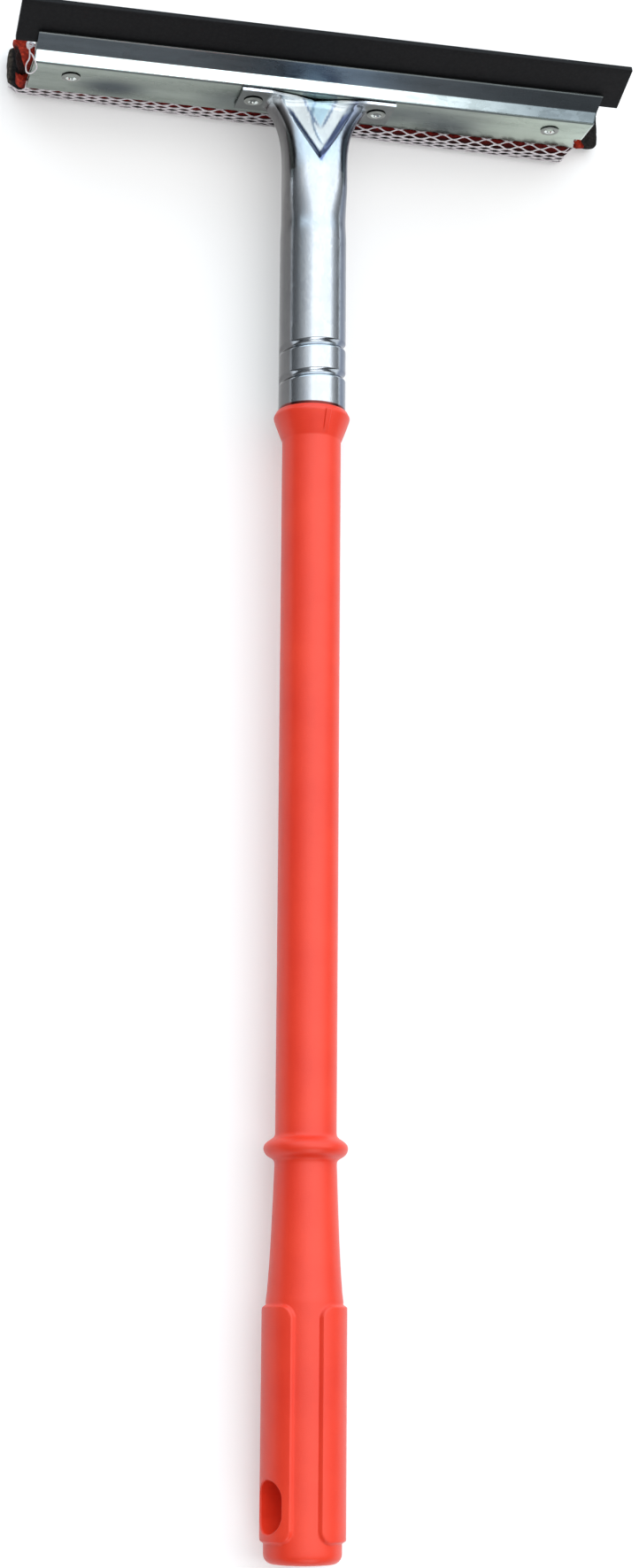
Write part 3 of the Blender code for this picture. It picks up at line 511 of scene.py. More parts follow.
# Neck: rolled grooves, flattened flare with a pressed V dent, and two ears
neck = {
    "columns": 160, "rim": 237.1, "radius": 10.9, "upper": 10.65, "wall": 0.9, "stepTop": 302.6,
    "stepLength": 6.0,
    "groove": 248.5, "grooveGap": 10.16, "grooveHalf": 1.5, "grooveDepth": 1.1, "lead": 5.08,
    "seam": radians(-100.0), "fade": radians(40.0), "earUnder": 343.6, "bend": 2.0,
    "flareLength": 25.6, "flareHalf": 17.6, "flarePower": 3.2, "front": 8.0, "back": 5.5, "flatten": 0.9,
    "flattenFrom": (304.1, 12.0), "shoulder": 0.48,
    "dentLength": 24.0, "dentHalf": 13.4, "dentDepth": 5.6, "dentPower": 1.4, "leftWall": 1.95,
    "rightWall": 3.38,
    "innerTip": 333.0, "innerHalf": 5.2, "innerShift": 0.6, "innerDepth": 0.22, "innerEdge": 2.2,
    "creaseTurn": 334.0, "creaseShift": 1.6, "creaseLean": 0.22, "creaseCurve": 0.03, "creaseHalf": 0.9,
    "creaseDepth": 0.2, "creaseFrom": 326.0,
    "ridgeX": 0.4, "ridgeHalf": 0.6, "ridgeHeight": 0.35, "ridgeStart": (321.6, 1.0),
    "ridgeStop": (328.0, 2.5),
    "earHalf": 26.0, "lip": 0.5, "earCorner": 2.0, "earSpread": radians(47.0), "earSquareness": 1.4,
    "earFillet": 0.3,
    "rimRows": (0.0, 1.15, 1.5, 4.9), "grooveRows": (243.0, 267.0, 110), "plainRows": (272.0, 280.0, 290.0),
    "stepRows": (294.5, 303.5, 8), "lowRows": (306.0, 315.0, 3), "flareRows": 60, "bendRows": 6, "earRows": 4,
    # Where the painted dark reflections on the neck's sides begin, and how fast they fade in
    "shadeLeft": radians(-46.0), "shadeRight": radians(36.0), "shadeFade": radians(11.0),
}
# Colours that multiply the neck's steel, and how metallic it is there: painted reflections, highlights and
# shade
neckTones = {
    "plain": (1.0, 1.0, 1.0, 1.0), "left": (0.3, 0.27, 0.25, 1.0), "right": (0.36, 0.39, 0.47, 1.0),
    "dentFloor": (1.95, 1.95, 1.82, 0.1), "innerFloor": (1.35, 1.75, 1.85, 0.15),
    "leftWall": (0.24, 0.28, 0.46, 1.0), "rightWall": (0.38, 0.42, 0.7, 0.6),
    "innerLine": (0.3, 0.5, 0.85, 0.5), "creaseLine": (0.3, 0.5, 0.8, 0.5),
    "leftCorner": (1.25, 1.25, 1.2, 0.3), "rightCorner": (0.55, 0.57, 0.6, 0.6),
    "ear": (0.29, 0.29, 0.26, 1.0), "earEdge": (1.6, 1.6, 1.6, 1.0), "rim": (0.3, 0.06, 0.05, 1.0),
}


def groovedRadius(y, angle):
    spec = neck
    pastSeam = (angle - spec["seam"]) % (2 * pi)
    fade = ease(min(pastSeam, 2 * pi - pastSeam) / spec["fade"])
    climbed = spec["lead"] * (pastSeam + spec["seam"]) / (2 * pi)
    deep = 0.0
    for middle in (spec["groove"], spec["groove"] + spec["grooveGap"]):
        away = abs(y - climbed - middle) / spec["grooveHalf"]
        if away < 1:
            deep = 0.5 + 0.5 * cos(pi * away)
    return spec["radius"] - spec["grooveDepth"] * deep * fade


def flareShare(y):
    return min(1.0, max(0.0, (y - (neck["earUnder"] - neck["flareLength"])) / neck["flareLength"]))


def flareWidth(share):
    return neck["upper"] + (neck["flareHalf"] - neck["upper"]) * share ** neck["flarePower"]


def flarePoint(y, angle):
    spec = neck
    share = flareShare(y)
    front = spec["upper"] + (spec["front"] - spec["upper"]) * ease(share)
    back = spec["upper"] + (spec["back"] - spec["upper"]) * ease(share)
    x = flareWidth(share) * sin(angle) * (1 + spec["shoulder"] * (share * sin(angle) * cos(angle)) ** 2)
    z = back * cos(angle)
    if cos(angle) > 0:
        square = 2 + spec["flatten"] * rising(y, *spec["flattenFrom"])
        z = front * (1 - abs(sin(angle)) ** square) ** (1 / square) - dentFall(x, y, front)
    return Vector((x, y, z))


def dentShare(y):
    return min(1.0, (y - (neck["earUnder"] - neck["dentLength"])) / neck["dentLength"])


def dentWall(x):
    return neck["leftWall"] if x < 0 else neck["rightWall"]


def innerShare(y):
    return min(1.0, (y - neck["innerTip"]) / (neck["earUnder"] - neck["innerTip"]))


def innerReach(x, inner):
    # How far a point of the dent's floor lies inside the inner V, less than 0 outside it.
    return neck["innerHalf"] * inner - abs(x - neck["innerShift"])


def creaseAway(x, y):
    # Distance from the bent crease in the dent's floor.
    up = y - neck["creaseTurn"]
    return abs(x + neck["creaseShift"] + neck["creaseLean"] * up - neck["creaseCurve"] * up ** 2)


def dentFall(x, y, front):
    # Depth of the pressed V: steep walls along its arms, a floor with an inner V and a ridge over the tip.
    spec = neck
    dent = dentShare(y)
    if dent <= 0:
        return 0.0
    floorZ = spec["upper"] - spec["dentDepth"] * (1 - (1 - dent) ** spec["dentPower"])
    fall = max(0.0, front - floorZ) * ease((spec["dentHalf"] * dent - abs(x)) / dentWall(x))
    inner = innerShare(y)
    if inner > 0:
        fall += spec["innerDepth"] * inner * ease(innerReach(x, inner) / spec["innerEdge"])
    crease = ease(1 - creaseAway(x, y) / spec["creaseHalf"])
    fall += spec["creaseDepth"] * crease * rising(y, spec["creaseFrom"], 3.0)
    ridge = ease(1 - abs(x - spec["ridgeX"]) / spec["ridgeHalf"])
    ridge *= rising(y, *spec["ridgeStart"]) * falling(y, *spec["ridgeStop"])
    return fall - spec["ridgeHeight"] * ridge


def earPoint(angle):
    spec = neck
    wall = flarePoint(spec["earUnder"], angle)
    side = min(1.0, abs(wall.x) / (spec["flareHalf"] - spec["earCorner"]))
    frontEdge, backEdge = spec["front"] + spec["lip"], spec["back"] + spec["lip"]
    if abs(sin(angle)) > sin(spec["earSpread"]):
        edge = frontEdge if cos(angle) > 0 else -backEdge
        share = min(1.0, abs(cos(angle)) / cos(spec["earSpread"]) * spec["earSquareness"])
        return Vector(((1 if sin(angle) > 0 else -1) * spec["earHalf"], spec["earUnder"], edge * share))
    depth = wall.z + (spec["lip"] if wall.z > 0 else -spec["lip"])
    rim = frontEdge if wall.z > 0 else -backEdge
    return Vector((wall.x * (1 + side * spec["earFillet"]), spec["earUnder"],
                   depth + (rim - depth) * ease(side)))


def paintTone(piece, tones):
    # A colour to multiply by at each point, and as the fourth value how metallic it is.
    paint = piece.data.color_attributes.new("tone", "FLOAT_COLOR", "POINT")
    for vertex, mark in zip(piece.data.vertices, paint.data):
        mark.color = tones(vertex.co)


def blendTones(share, first, second):
    return [a + (b - a) * share for a, b in zip(first, second)]


def layeredTone(tone, *layers):
    # Each layer is a share and the colour that it blends in.
    for share, colour in layers:
        tone = blendTones(share, tone, colour)
    return tone


def dentTone(spot, dent, tone):
    # Painted highlight on the pale floor, painted shade on the dark walls that fades towards the ears, and
    # painted blue reflections along the inner V and the crease.
    spec = neck
    tones = neckTones
    left = spot.x < 0
    within = spec["dentHalf"] * dent - abs(spot.x)
    down = ease(within / dentWall(spot.x))
    inner = innerShare(spot.y)
    reach = innerReach(spot.x, inner)
    floorTone = blendTones(ease(reach / 1.5), tones["dentFloor"], tones["innerFloor"])
    slope = ease(within / (1.7 * dentWall(spot.x))) if left else down
    faded = (0.9 if left else 0.6) * rising(dent, 0.8, 0.12)
    wall = ease(7.0 * slope * (1 - slope)) * ease(dent / 0.06) * (1 - faded)
    innerLine = 0.8 * ease(1.3 - abs(reach) / 0.5) * ease(3.0 * inner)
    creaseLine = 0.7 * ease(1.3 - creaseAway(spot.x, spot.y) / 0.5) * rising(spot.y, spec["creaseFrom"], 4.0)
    return layeredTone(tone, (down, floorTone), (wall, tones["leftWall" if left else "rightWall"]),
                       (innerLine, tones["innerLine"]), (creaseLine, tones["creaseLine"]))


def neckTone(spot):
    # Painted dark reflections on the brownish left side and the bluish right side, the dent's painted
    # highlights and shade, a painted highlight and shade at the flare's top corners, ears painted as grey as
    # the plate with painted highlights on their front edges, and a painted shadow at the rim.
    spec = neck
    tones = neckTones
    angle = atan2(spot.x, spot.z)
    share = flareShare(spot.y)
    if share > 0 and spot.z > -0.5:
        angle = asin(max(-1.0, min(1.0, spot.x / flareWidth(share))))
    # Painted dark reflections down both sides of the neck.
    tone = layeredTone(tones["plain"], (falling(angle, spec["shadeLeft"], spec["shadeFade"]), tones["left"]),
                       (rising(angle, spec["shadeRight"], spec["shadeFade"]), tones["right"]))
    dent = dentShare(spot.y)
    if dent > 0 and spot.z > 0:
        tone = dentTone(spot, dent, tone)
    outward = abs(spot.x) - spec["dentHalf"]
    # Painted highlight on the flare's top left corner and painted shade on its top right corner.
    corner = rising(share, 0.86, 0.1) * rising(outward, -1.0, 1.5) * rising(spot.z, 2.0, 2.0)
    tone = blendTones(corner, tone, tones["leftCorner" if spot.x < 0 else "rightCorner"])
    # Ears painted in the plate shelf's painted grey, with a painted highlight along their front edges.
    if spot.y > spec["earUnder"] - 0.3:
        ear = blendTones(rising(spot.z, spec["front"], spec["lip"]), tones["ear"], tones["earEdge"])
        tone = blendTones(rising(outward, 1.0, 2.5), tone, ear)
    # Painted shadow, reddened by the collar's reflection, along the neck's rim.
    return blendTones(falling(spot.y, spec["rim"] + 1.4, 0.2), tone, tones["rim"])


def spanRows(kind, low, high, steps):
    return [(kind, low + (high - low) * i / steps) for i in range(steps + 1)]


def neckRows():
    spec = neck
    rows = [("plain", spec["rim"] + up) for up in spec["rimRows"]]
    rows += spanRows("groove", *spec["grooveRows"])
    rows += [("plain", level) for level in spec["plainRows"]]
    rows += spanRows("step", *spec["stepRows"])
    rows += spanRows("flare", *spec["lowRows"])
    top = spec["earUnder"]
    rows += spanRows("flare", top - spec["flareLength"], top - spec["bend"], spec["flareRows"])
    rows += spanRows("bend", 0.0, 1.0, spec["bendRows"])[1:]
    rows += spanRows("ear", 0.0, 1.0, spec["earRows"])[1:]
    return rows


def buildNeck(material):
    spec = neck
    rows = neckRows()
    bend = spec["bend"]

    def place(across, along):
        kind, value = rows[round(along * (len(rows) - 1))]
        angle = spec["seam"] + 2 * pi * across
        if kind == "flare":
            return flarePoint(value, angle)
        if kind in ("plain", "groove", "step"):
            radius = spec["radius"]
            if kind == "groove":
                radius = groovedRadius(value, angle)
            if kind == "step":
                narrowed = rising(value, spec["stepTop"] - spec["stepLength"], spec["stepLength"])
                radius += (spec["upper"] - radius) * narrowed
            return Vector((radius * sin(angle), value, radius * cos(angle)))
        low = flarePoint(spec["earUnder"] - bend, angle)
        edge = earPoint(angle)
        out = Vector((edge.x - low.x, 0.0, edge.z - low.z))
        start = low + out.normalized() * min(bend, max(0.2, out.length))
        start.y = spec["earUnder"]
        if kind == "bend":
            swing = pi / 2 * value
            return Vector((low.x + (start.x - low.x) * (1 - cos(swing)), low.y + bend * sin(swing),
                           low.z + (start.z - low.z) * (1 - cos(swing))))
        return start.lerp(edge, value)

    piece = shapedGrid("neckTube", spec["columns"], len(rows) - 1, place, closed=True)
    paintTone(piece, neckTone)
    faces = piece.data.polygons
    if sum(face.normal.x * face.center.x + face.normal.z * face.center.z for face in faces) < 0:
        piece.data.flip_normals()
    wall = piece.modifiers.new("wall", "SOLIDIFY")
    wall.thickness = spec["wall"]
    wall.offset = -1.0
    applyAll(piece)
    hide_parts("neck_socket")
    return finishPiece(piece, "head", "steel_sheet", material, 50)


neckTube = buildNeck(neckSteel)
print("neck", len(neckTube.data.polygons))

# Head: folded plates, blade and rivets
head = {
    "sheet": 0.9, "gap": 0.3, "netThickness": 0.6, "half": 94.8, "shelf": 344.8, "ahead": 9.4, "depth": 20.0,
    "step": 4.1, "stepSlope": radians(47.7), "flange": 7.3, "bladeLean": radians(21.5), "bend": 1.2,
    "columns": 120, "endShift": 0.9, "rearShort": 1.0,
    "cornerForm": ((92.0, 340.0, -20.0), (100.0, 350.0, -3.7)), "cornerSlant": 4.9,
    "plateEdge": (0.14, 2), "bladeEdge": (0.3, 3), "bladeCuts": 7,
    "bladeHalf": 101.6, "bladeWidth": 17.2, "bladeThick": 2.0, "bladeToBend": 1.6,
    "rivetOuter": 81.7, "rivetInner": 21.0, "rivetZ": 1.2, "rivetRise": 0.3, "rivetRadius": 3.1,
    "rivetShank": 1.5,
    "dimple": ((1.15, 0.2), (1.1, 0.5), (0.92, 0.8), (0.66, 1.1), (0.4, 1.4), (0.17, 1.7), (0.04, 1.95),
               (0.0, 2.3), (0.1, 2.75)),
    "tail": ((0.0, 2.8), (0.35, 2.1), (0.5, 1.2)),
    "darkPatches": ((-67.5, 15.0, -3.5, 8.0, 1.0), (-26.0, 15.0, -3.0, 10.0, 0.6), (36.0, 24.0, 1.0, 9.0, 0.65),
               (47.0, 13.0, -5.5, 8.0, 0.8), (20.0, 14.0, -4.0, 12.0, 0.5)),
}
# Colours that multiply the steel, and how metallic it is there: painted highlights, reflections and shade,
# and darker patches
plateTones = {
    "flange": (0.17, 0.18, 0.21, 1.0), "flangeMiddle": (0.3, 0.37, 0.5, 1.0),
    "flangeRight": (0.085, 0.09, 0.105, 1.0), "lip": (0.62, 0.64, 0.66, 1.0), "shelf": (0.66, 0.7, 0.66, 1.0),
    "shelfRight": (1.05, 1.12, 1.02, 1.0), "stain": (0.12, 0.15, 0.18, 1.0), "end": (2.1, 2.1, 2.1, 0.05),
    "bendLine": (0.08, 0.1, 0.13, 1.0),
}
# Colours that multiply the rivets' steel: a painted highlight and painted shade in the dimple
rivetTones = {"rim": (0.85, 0.85, 0.82, 1.0), "highlight": (2.6, 2.6, 2.6, 1.0), "shaded": (0.35, 0.35, 0.35, 1.0)}
bladeWay = Vector((0.0, sin(head["bladeLean"]), cos(head["bladeLean"])))
bladeDeep = Vector((0.0, cos(head["bladeLean"]), -sin(head["bladeLean"])))
shelfBack = head["ahead"] - head["depth"]
rearShelf = head["shelf"] + head["sheet"] + head["netThickness"] + 2 * head["gap"]


def plateCorners():
    spec = head
    low = Vector((0.0, spec["shelf"], spec["ahead"]))
    high = low + spec["step"] * Vector((0.0, sin(spec["stepSlope"]), cos(spec["stepSlope"])))
    rim = high + spec["flange"] * bladeWay
    return Vector((0.0, spec["shelf"], shelfBack)), low, high, rim


def roundedPath(corners, radius, steps):
    points = [corners[0]]
    for before, corner, after in zip(corners, corners[1:], corners[2:]):
        toBefore, toAfter = (before - corner).normalized(), (after - corner).normalized()
        half = toBefore.angle(toAfter) / 2
        reach = radius * cos(half) / sin(half)
        middle = corner + (toBefore + toAfter).normalized() * (radius / sin(half))
        start, finish = corner + toBefore * reach - middle, corner + toAfter * reach - middle
        points += [middle + start.slerp(finish, i / steps) * radius for i in range(steps + 1)]
    return points + [corners[-1]]


def evenPath(points, longest):
    # Extra points so that no stretch is longer than the given length.
    path = [points[0]]
    for before, after in zip(points, points[1:]):
        pieces = max(1, int((after - before).length / longest + 0.99))
        path += [before.lerp(after, i / pieces) for i in range(1, pieces + 1)]
    return path


def spotShare(spot, middleX, halfX, middleZ, halfZ):
    # 1 in the middle of a long dark patch, 0 outside it.
    away = sqrt(((spot.x - middleX) / halfX) ** 2 + ((spot.z - middleZ) / halfZ) ** 2)
    return ease(1.15 - away)


def plateTone(spot):
    # Painted shade and dark reflections on the flange with a painted highlight along its lip, a painted
    # highlight on the step, a grey shelf with darker patches and painted light towards its right end, a
    # painted highlight on the cut end and painted shade in the bend line.
    tones = plateTones
    along = spot.z - head["ahead"]
    flange = rising(along, 2.5, 0.5)
    step = rising(along, -0.2, 0.5) * (1 - flange)
    # Painted highlight on the step, fading to the right.
    shine = 1.0 - 0.77 * rising(spot.x, -5.0, 90.0)
    bright = (1.75 * shine, 1.85 * shine + 0.03, 1.9 * shine + 0.08, 1.0)
    # Painted shade and reflections on the flange, bluish in its middle and darkest to the right, with a
    # painted highlight along its lip.
    shaded = layeredTone(tones["flange"], (ease(1.0 - abs(spot.x - 2.0) / 34.0), tones["flangeMiddle"]),
                       (rising(spot.x, 25.0, 65.0), tones["flangeRight"]),
                       (rising(along, 9.1, 0.35), tones["lip"]))
    # The shelf painted a darker grey, with painted light towards its right end, and darker patches.
    plain = blendTones(rising(spot.x, 52.0, 22.0), tones["shelf"], tones["shelfRight"])
    for middleX, halfX, middleZ, halfZ, depth in head["darkPatches"]:
        plain = blendTones(depth * spotShare(spot, middleX, halfX, middleZ, halfZ), plain, tones["stain"])
    # Painted highlight on the cut end.
    plain = blendTones(rising(spot.x, head["half"] - 0.45, 0.3), plain, tones["end"])
    tone = [p * (1 - step - flange) + b * step + d * flange for p, b, d in zip(plain, bright, shaded)]
    # Painted shade in the bend between the step and the shelf.
    return blendTones(0.85 * ease(1.6 - abs(along + 0.35) / 0.3), tone, tones["bendLine"])


def foldedPlate(name, corners):
    half = head["half"]
    path = evenPath(roundedPath(corners, head["bend"], 8), 0.7)

    def place(across, along):
        point = path[round(along * (len(path) - 1))]
        x = -half + 2 * half * across
        if 1.0 < half - abs(x) < 2.0:  # the last columns but one, drawn towards the ends
            x += head["endShift"] if x > 0 else -head["endShift"]
        return Vector((x, point.y, point.z))

    piece = shapedGrid(name, head["columns"], len(path) - 1, place)
    if sum(face.normal.y for face in piece.data.polygons) > 0:
        piece.data.flip_normals()
    paintTone(piece, plateTone)
    sheet = piece.modifiers.new("sheet", "SOLIDIFY")
    sheet.thickness = head["sheet"]
    sheet.offset = -1.0
    sheet.use_even_offset = True
    applyAll(piece)
    return piece


def buildPlates(material):
    spec = head
    back, low, high, rim = plateCorners()
    front = foldedPlate("frontPlate", [back, low, high, rim])
    corner = boxPiece("cornerForm", *spec["cornerForm"])
    right, top = spec["cornerForm"][1][0], spec["cornerForm"][1][2]
    for vertex in corner.data.vertices:
        if vertex.co.x < right - 1.0 and vertex.co.z < top - 1.0:
            vertex.co.x += spec["cornerSlant"]
    cutAway(front, corner)
    into = bladeDeep * (spec["sheet"] + spec["bladeThick"] + 2 * spec["gap"])
    pinch = spec["netThickness"] + 2 * spec["gap"]
    rearBack = Vector((0.0, rearShelf, shelfBack + spec["rearShort"]))
    rearLow = Vector((0.0, rearShelf, spec["ahead"] - pinch))
    rearHigh = high + bladeWay * (spec["bladeToBend"] - 1.0) + into
    rear = foldedPlate("rearPlate", [rearBack, rearLow, rearHigh, rim + into])
    for piece, node in ((front, "front_plate"), (rear, "rear_plate")):
        bevelEdges(piece, *spec["plateEdge"])
        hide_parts(node)
        finishPiece(piece, "head", "steel_sheet", material, 30)


def buildBlade():
    spec = head
    stepTop = plateCorners()[2]
    start = stepTop + bladeWay * spec["bladeToBend"] + bladeDeep * (spec["sheet"] + spec["gap"])
    piece = boxPiece("rubberBlade", (-spec["bladeHalf"], 0.0, 0.0),
                     (spec["bladeHalf"], spec["bladeThick"], spec["bladeWidth"]))
    pick(piece)
    bpy.ops.object.mode_set(mode="EDIT")
    bpy.ops.mesh.select_all(action="SELECT")
    bpy.ops.mesh.subdivide(number_cuts=spec["bladeCuts"])
    bpy.ops.object.mode_set(mode="OBJECT")
    bevelEdges(piece, *spec["bladeEdge"])
    piece.data.transform(Matrix.Translation(start) @ Matrix.Rotation(-spec["bladeLean"], 4, "X"))
    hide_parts("rubber_blade")
    return finishPiece(piece, "head", "blade_rubber", blackRubber, 35)


def rivetProfile(nearFace):
    spec = head
    top = nearFace - spec["gap"]
    crown = top - spec["rivetRise"]
    back = rearShelf + spec["sheet"] + spec["gap"]
    rows = [(crown + up, reach) for up, reach in spec["dimple"]]
    rows += [(crown + 0.22, spec["rivetRadius"]), (top, spec["rivetRadius"])]
    rows += [(top, spec["rivetShank"]), (back, spec["rivetShank"])]
    return rows + [(back + up, reach) for up, reach in spec["tail"]]


def rivetTone(spot):
    # Painted highlight on the lower wall of the dimple and painted shade on its upper wall.
    inside = falling(sqrt(spot.x ** 2 + spot.z ** 2), 1.9, 0.25)
    wall = blendTones(rising(spot.z, -0.35, 0.5), rivetTones["highlight"], rivetTones["shaded"])
    return blendTones(inside, rivetTones["rim"], wall)


def buildRivets():
    places = (("rivetLeftOuter", "rivet_left_outer", -head["rivetOuter"], head["shelf"]),
              ("rivetLeftInner", "rivet_left_inner", -head["rivetInner"], neck["earUnder"]),
              ("rivetRightInner", "rivet_right_inner", head["rivetInner"], neck["earUnder"]),
              ("rivetRightOuter", "rivet_right_outer", head["rivetOuter"], head["shelf"]))
    for name, node, x, nearFace in places:
        piece = turnedPiece(name, rivetProfile(nearFace), 40)
        paintTone(piece, rivetTone)
        piece.data.transform(Matrix.Translation((x, 0.0, head["rivetZ"])))
        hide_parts(node)
        finishPiece(piece, "head", "rivet_steel", rivetSteel, 40)


buildPlates(plateSteel)
buildBlade()
buildRivets()
print("head plates, blade and rivets")

# Sponge, scrub layer and net
soft = {
    "base": 346.9, "top": 363.1, "seat": 349.2, "rear": 19.7, "frontEdge": 6.5, "corner": 2.2, "nose": 4.0,
    "pinch": 1.7, "slope": 0.01587974, "padHalf": 98.5, "scrubHalf": 100.6, "scrubRight": 105.0, "scrub": 4.5,
    "padEnd": (5.0, 0.86), "scrubEnd": (5.0, 0.78), "dome": 0.5, "capSize": 0.02, "capShare": 0.07,
    "endShare": 0.19, "stations": 200,
    "netLeft": -99.5, "netRight": 94.4, "netFront": -94.6, "strand": 0.66, "netColumns": 25, "netRows": 48,
    "rowSteps": 4, "lift": 0.45,
    "sagStart": 10.7, "sagLength": 1.8, "sagTop": 357.0, "sagLevel": 344.25, "sagLean": 0.0195,
    "sagBow": 0.00004,
    "rightRise": 6.5, "rightRiseFrom": (91.0, 6.5), "rightDrop": 0.9, "rightDropFrom": (98.0, 2.5),
    "leftRise": 1.7,
    "foldDepth": 3.0, "foldLevel": 353.6, "foldBack": -12.0, "foldReach": 4.1, "foldHalf": 3.9,
    "crownRise": 2.3, "crownWay": (0.906, 0.422), "shortFrom": 90.0, "shortShare": 0.54, "bulge": 2.2,
    "drawnIn": 2.9, "threads": (("looseLoop", ((-96.6, 349.6, 9.6), (-96.4, 348.0, 9.3), (-95.5, 346.4, 9.9),
                               (-94.2, 343.9, 9.3), (-93.9, 343.5, 6.6), (-95.0, 343.3, 3.6),
                               (-96.5, 343.8, 3.2), (-96.9, 345.6, 4.4), (-96.1, 347.2, 6.1),
                               (-96.3, 348.6, 8.0)), 0.46),
                ("knot", ((-95.8, 349.4, 9.6), (-97.2, 349.9, 10.4), (-96.6, 351.0, 9.4),
                          (-95.4, 350.2, 10.3), (-96.8, 349.3, 9.2), (-97.3, 350.6, 9.9),
                          (-95.9, 351.1, 9.8)), 0.8)),
}
# Colours that multiply the red foam: painted light and painted shade
spongeTones = {
    "front": (1.25, 1.3, 1.3, 1.0), "behind": (0.62, 0.45, 0.7, 1.0), "dusk": (0.12, 0.1, 0.14, 1.0),
    "lobes": (1.8, 2.3, 2.2, 1.0), "rightEnd": (1.3, 1.5, 1.2, 1.0), "cleft": (0.05, 0.07, 0.09, 1.0),
}
# Colours that multiply the dark foam: a painted highlight, painted shade and black
scrubTones = {"middle": (0.35, 0.4, 0.5, 1.0), "leftEnd": (1.25, 1.25, 1.2, 1.0),
              "right": (0.22, 0.2, 0.2, 1.0)}


def sagFall(spot):
    # The foam and net hang a little lower behind the plate, more so to the right, and draw up at both ends.
    spec = soft
    low = spec["sagLevel"] - spec["sagLean"] * spot.x + spec["sagBow"] * spot.x ** 2 - spec["base"]
    low += spec["rightRise"] * rising(spot.x, *spec["rightRiseFrom"])
    low -= spec["rightDrop"] * rising(spot.x, *spec["rightDropFrom"])
    behind = falling(spot.z, -spec["sagStart"], spec["sagLength"])
    under = falling(spot.y, spec["sagTop"], spec["sagTop"] - spec["base"] - 1.5)
    return low * behind * under + spec["leftRise"] * falling(spot.x, -96.5, 3.0) * falling(spot.y, 352.5, 4.0)


def foldShare(spot):
    # 1 in the cleft between the lobes of the sponge's left end, wide at the dark layer and closed in front.
    spec = soft
    ahead = spot.z - spec["foldBack"]
    inward = (spot.x + spec["padHalf"] + 0.13 * ahead) / spec["foldReach"]
    height = spot.y + 0.48 * ahead - spec["foldLevel"] + 2.6 * inward
    half = spec["foldHalf"] * min(1.0, 1 - inward) * (1 - falling(inward, -0.1, 0.5))
    cleft = ease((half - abs(height)) / 0.9 + 0.5)
    return cleft * falling(inward, 1.05, 0.2) * falling(spot.x, -93.8, 0.8)


def shapeSponge(spot):
    # Two lobes at the left end, and a right end that is short in front and bulges below the plate's corner.
    spec = soft
    fold = spec["foldDepth"] * foldShare(spot)
    wayY, wayZ = spec["crownWay"]
    top = (spot.y - spec["base"] - spec["nose"]) * wayY + (spot.z - spec["frontEdge"]) * wayZ
    crown = spec["crownRise"] * rising(top, -6.0, 4.5) * falling(spot.x, -93.5, 3.0)
    low = falling(spot.y, 348.6, 1.5) * falling(spot.z, -7.0, 2.0)
    past = spot.x - spec["shortFrom"]
    if past > 0:
        spot.x = spec["shortFrom"] + past * (spec["shortShare"] + (1 - spec["shortShare"]) * low)
    spot.y += wayY * crown - spec["bulge"] * low * rising(spot.x, 94.0, 1.5) * rising(spot.z, -14.0, 2.0)
    spot.z += wayZ * crown - fold
    spot.x += 0.6 * fold


def spongeTone(spot):
    # Painted shade in the cleft and on the underside behind the plate, darkest under the net, and painted
    # light on the front, the lobes and the right end.
    tones = spongeTones
    behind = -soft["sagStart"]
    dusk = 3.8 - 2.9 * rising(spot.x, -75.0, 125.0)
    return layeredTone(tones["front"], (falling(spot.z, behind, 0.8), tones["behind"]),
                       (falling(spot.z, behind - dusk, 0.5), tones["dusk"]),
                       (falling(spot.x, -95.0, 2.0), tones["lobes"]),
                       (rising(spot.x, 93.5, 1.0), tones["rightEnd"]),
                       (ease(1.5 * foldShare(spot)), tones["cleft"]))


def scrubTone(spot):
    # Painted highlight on the outside of the left end, painted bluish shade where the sponge shades it, and
    # black at the right end.
    return layeredTone(scrubTones["middle"], (falling(spot.x, -98.6, 1.2), scrubTones["leftEnd"]),
                       (rising(spot.x, 60.0, 30.0), scrubTones["right"]))


def wrapPath():
    spec = soft
    middle = (spec["base"] + spec["top"]) / 2
    rearLow = Vector((0.0, spec["base"], -spec["rear"] + (middle - spec["base"]) * spec["slope"]))
    rearHigh = Vector((0.0, spec["top"], -spec["rear"] - (spec["top"] - middle) * spec["slope"]))
    corners = [Vector((0.0, spec["base"], shelfBack + spec["pinch"])), rearLow, rearHigh,
               Vector((0.0, spec["base"] + spec["nose"], spec["frontEdge"]))]
    return roundedPath(corners, spec["corner"], 10)


def pathPoint(path, lengths, share):
    target = lengths[-1] * min(1.0, max(0.0, share))
    k = 0
    while k < len(path) - 2 and lengths[k + 1] < target:
        k += 1
    span = lengths[k + 1] - lengths[k]
    point = path[k].lerp(path[k + 1], (target - lengths[k]) / span)
    way = (path[k + 1] - path[k]).normalized()
    return point, Vector((0.0, way.z, -way.y))


def pathLengths(path):
    lengths = [0.0]
    for before, after in zip(path, path[1:]):
        lengths.append(lengths[-1] + (after - before).length)
    return lengths


def foamPiece(name, outline, low, high, end):
    # Closed pad swept along X between its ends, from an outline in Y and Z.
    middle = sum(outline, Vector((0.0, 0.0, 0.0))) / len(outline)
    ring = evenPath(outline + [outline[0]], 0.7)[:-1]

    def place(across, along):
        point = ring[round(across * len(ring)) % len(ring)]
        x, size = roundedEnds(along, low, high, end)
        spot = middle + (point - middle) * size
        return Vector((x, spot.y, spot.z))

    return closeEnds(shapedGrid(name, len(ring), soft["stations"], place, closed=True))


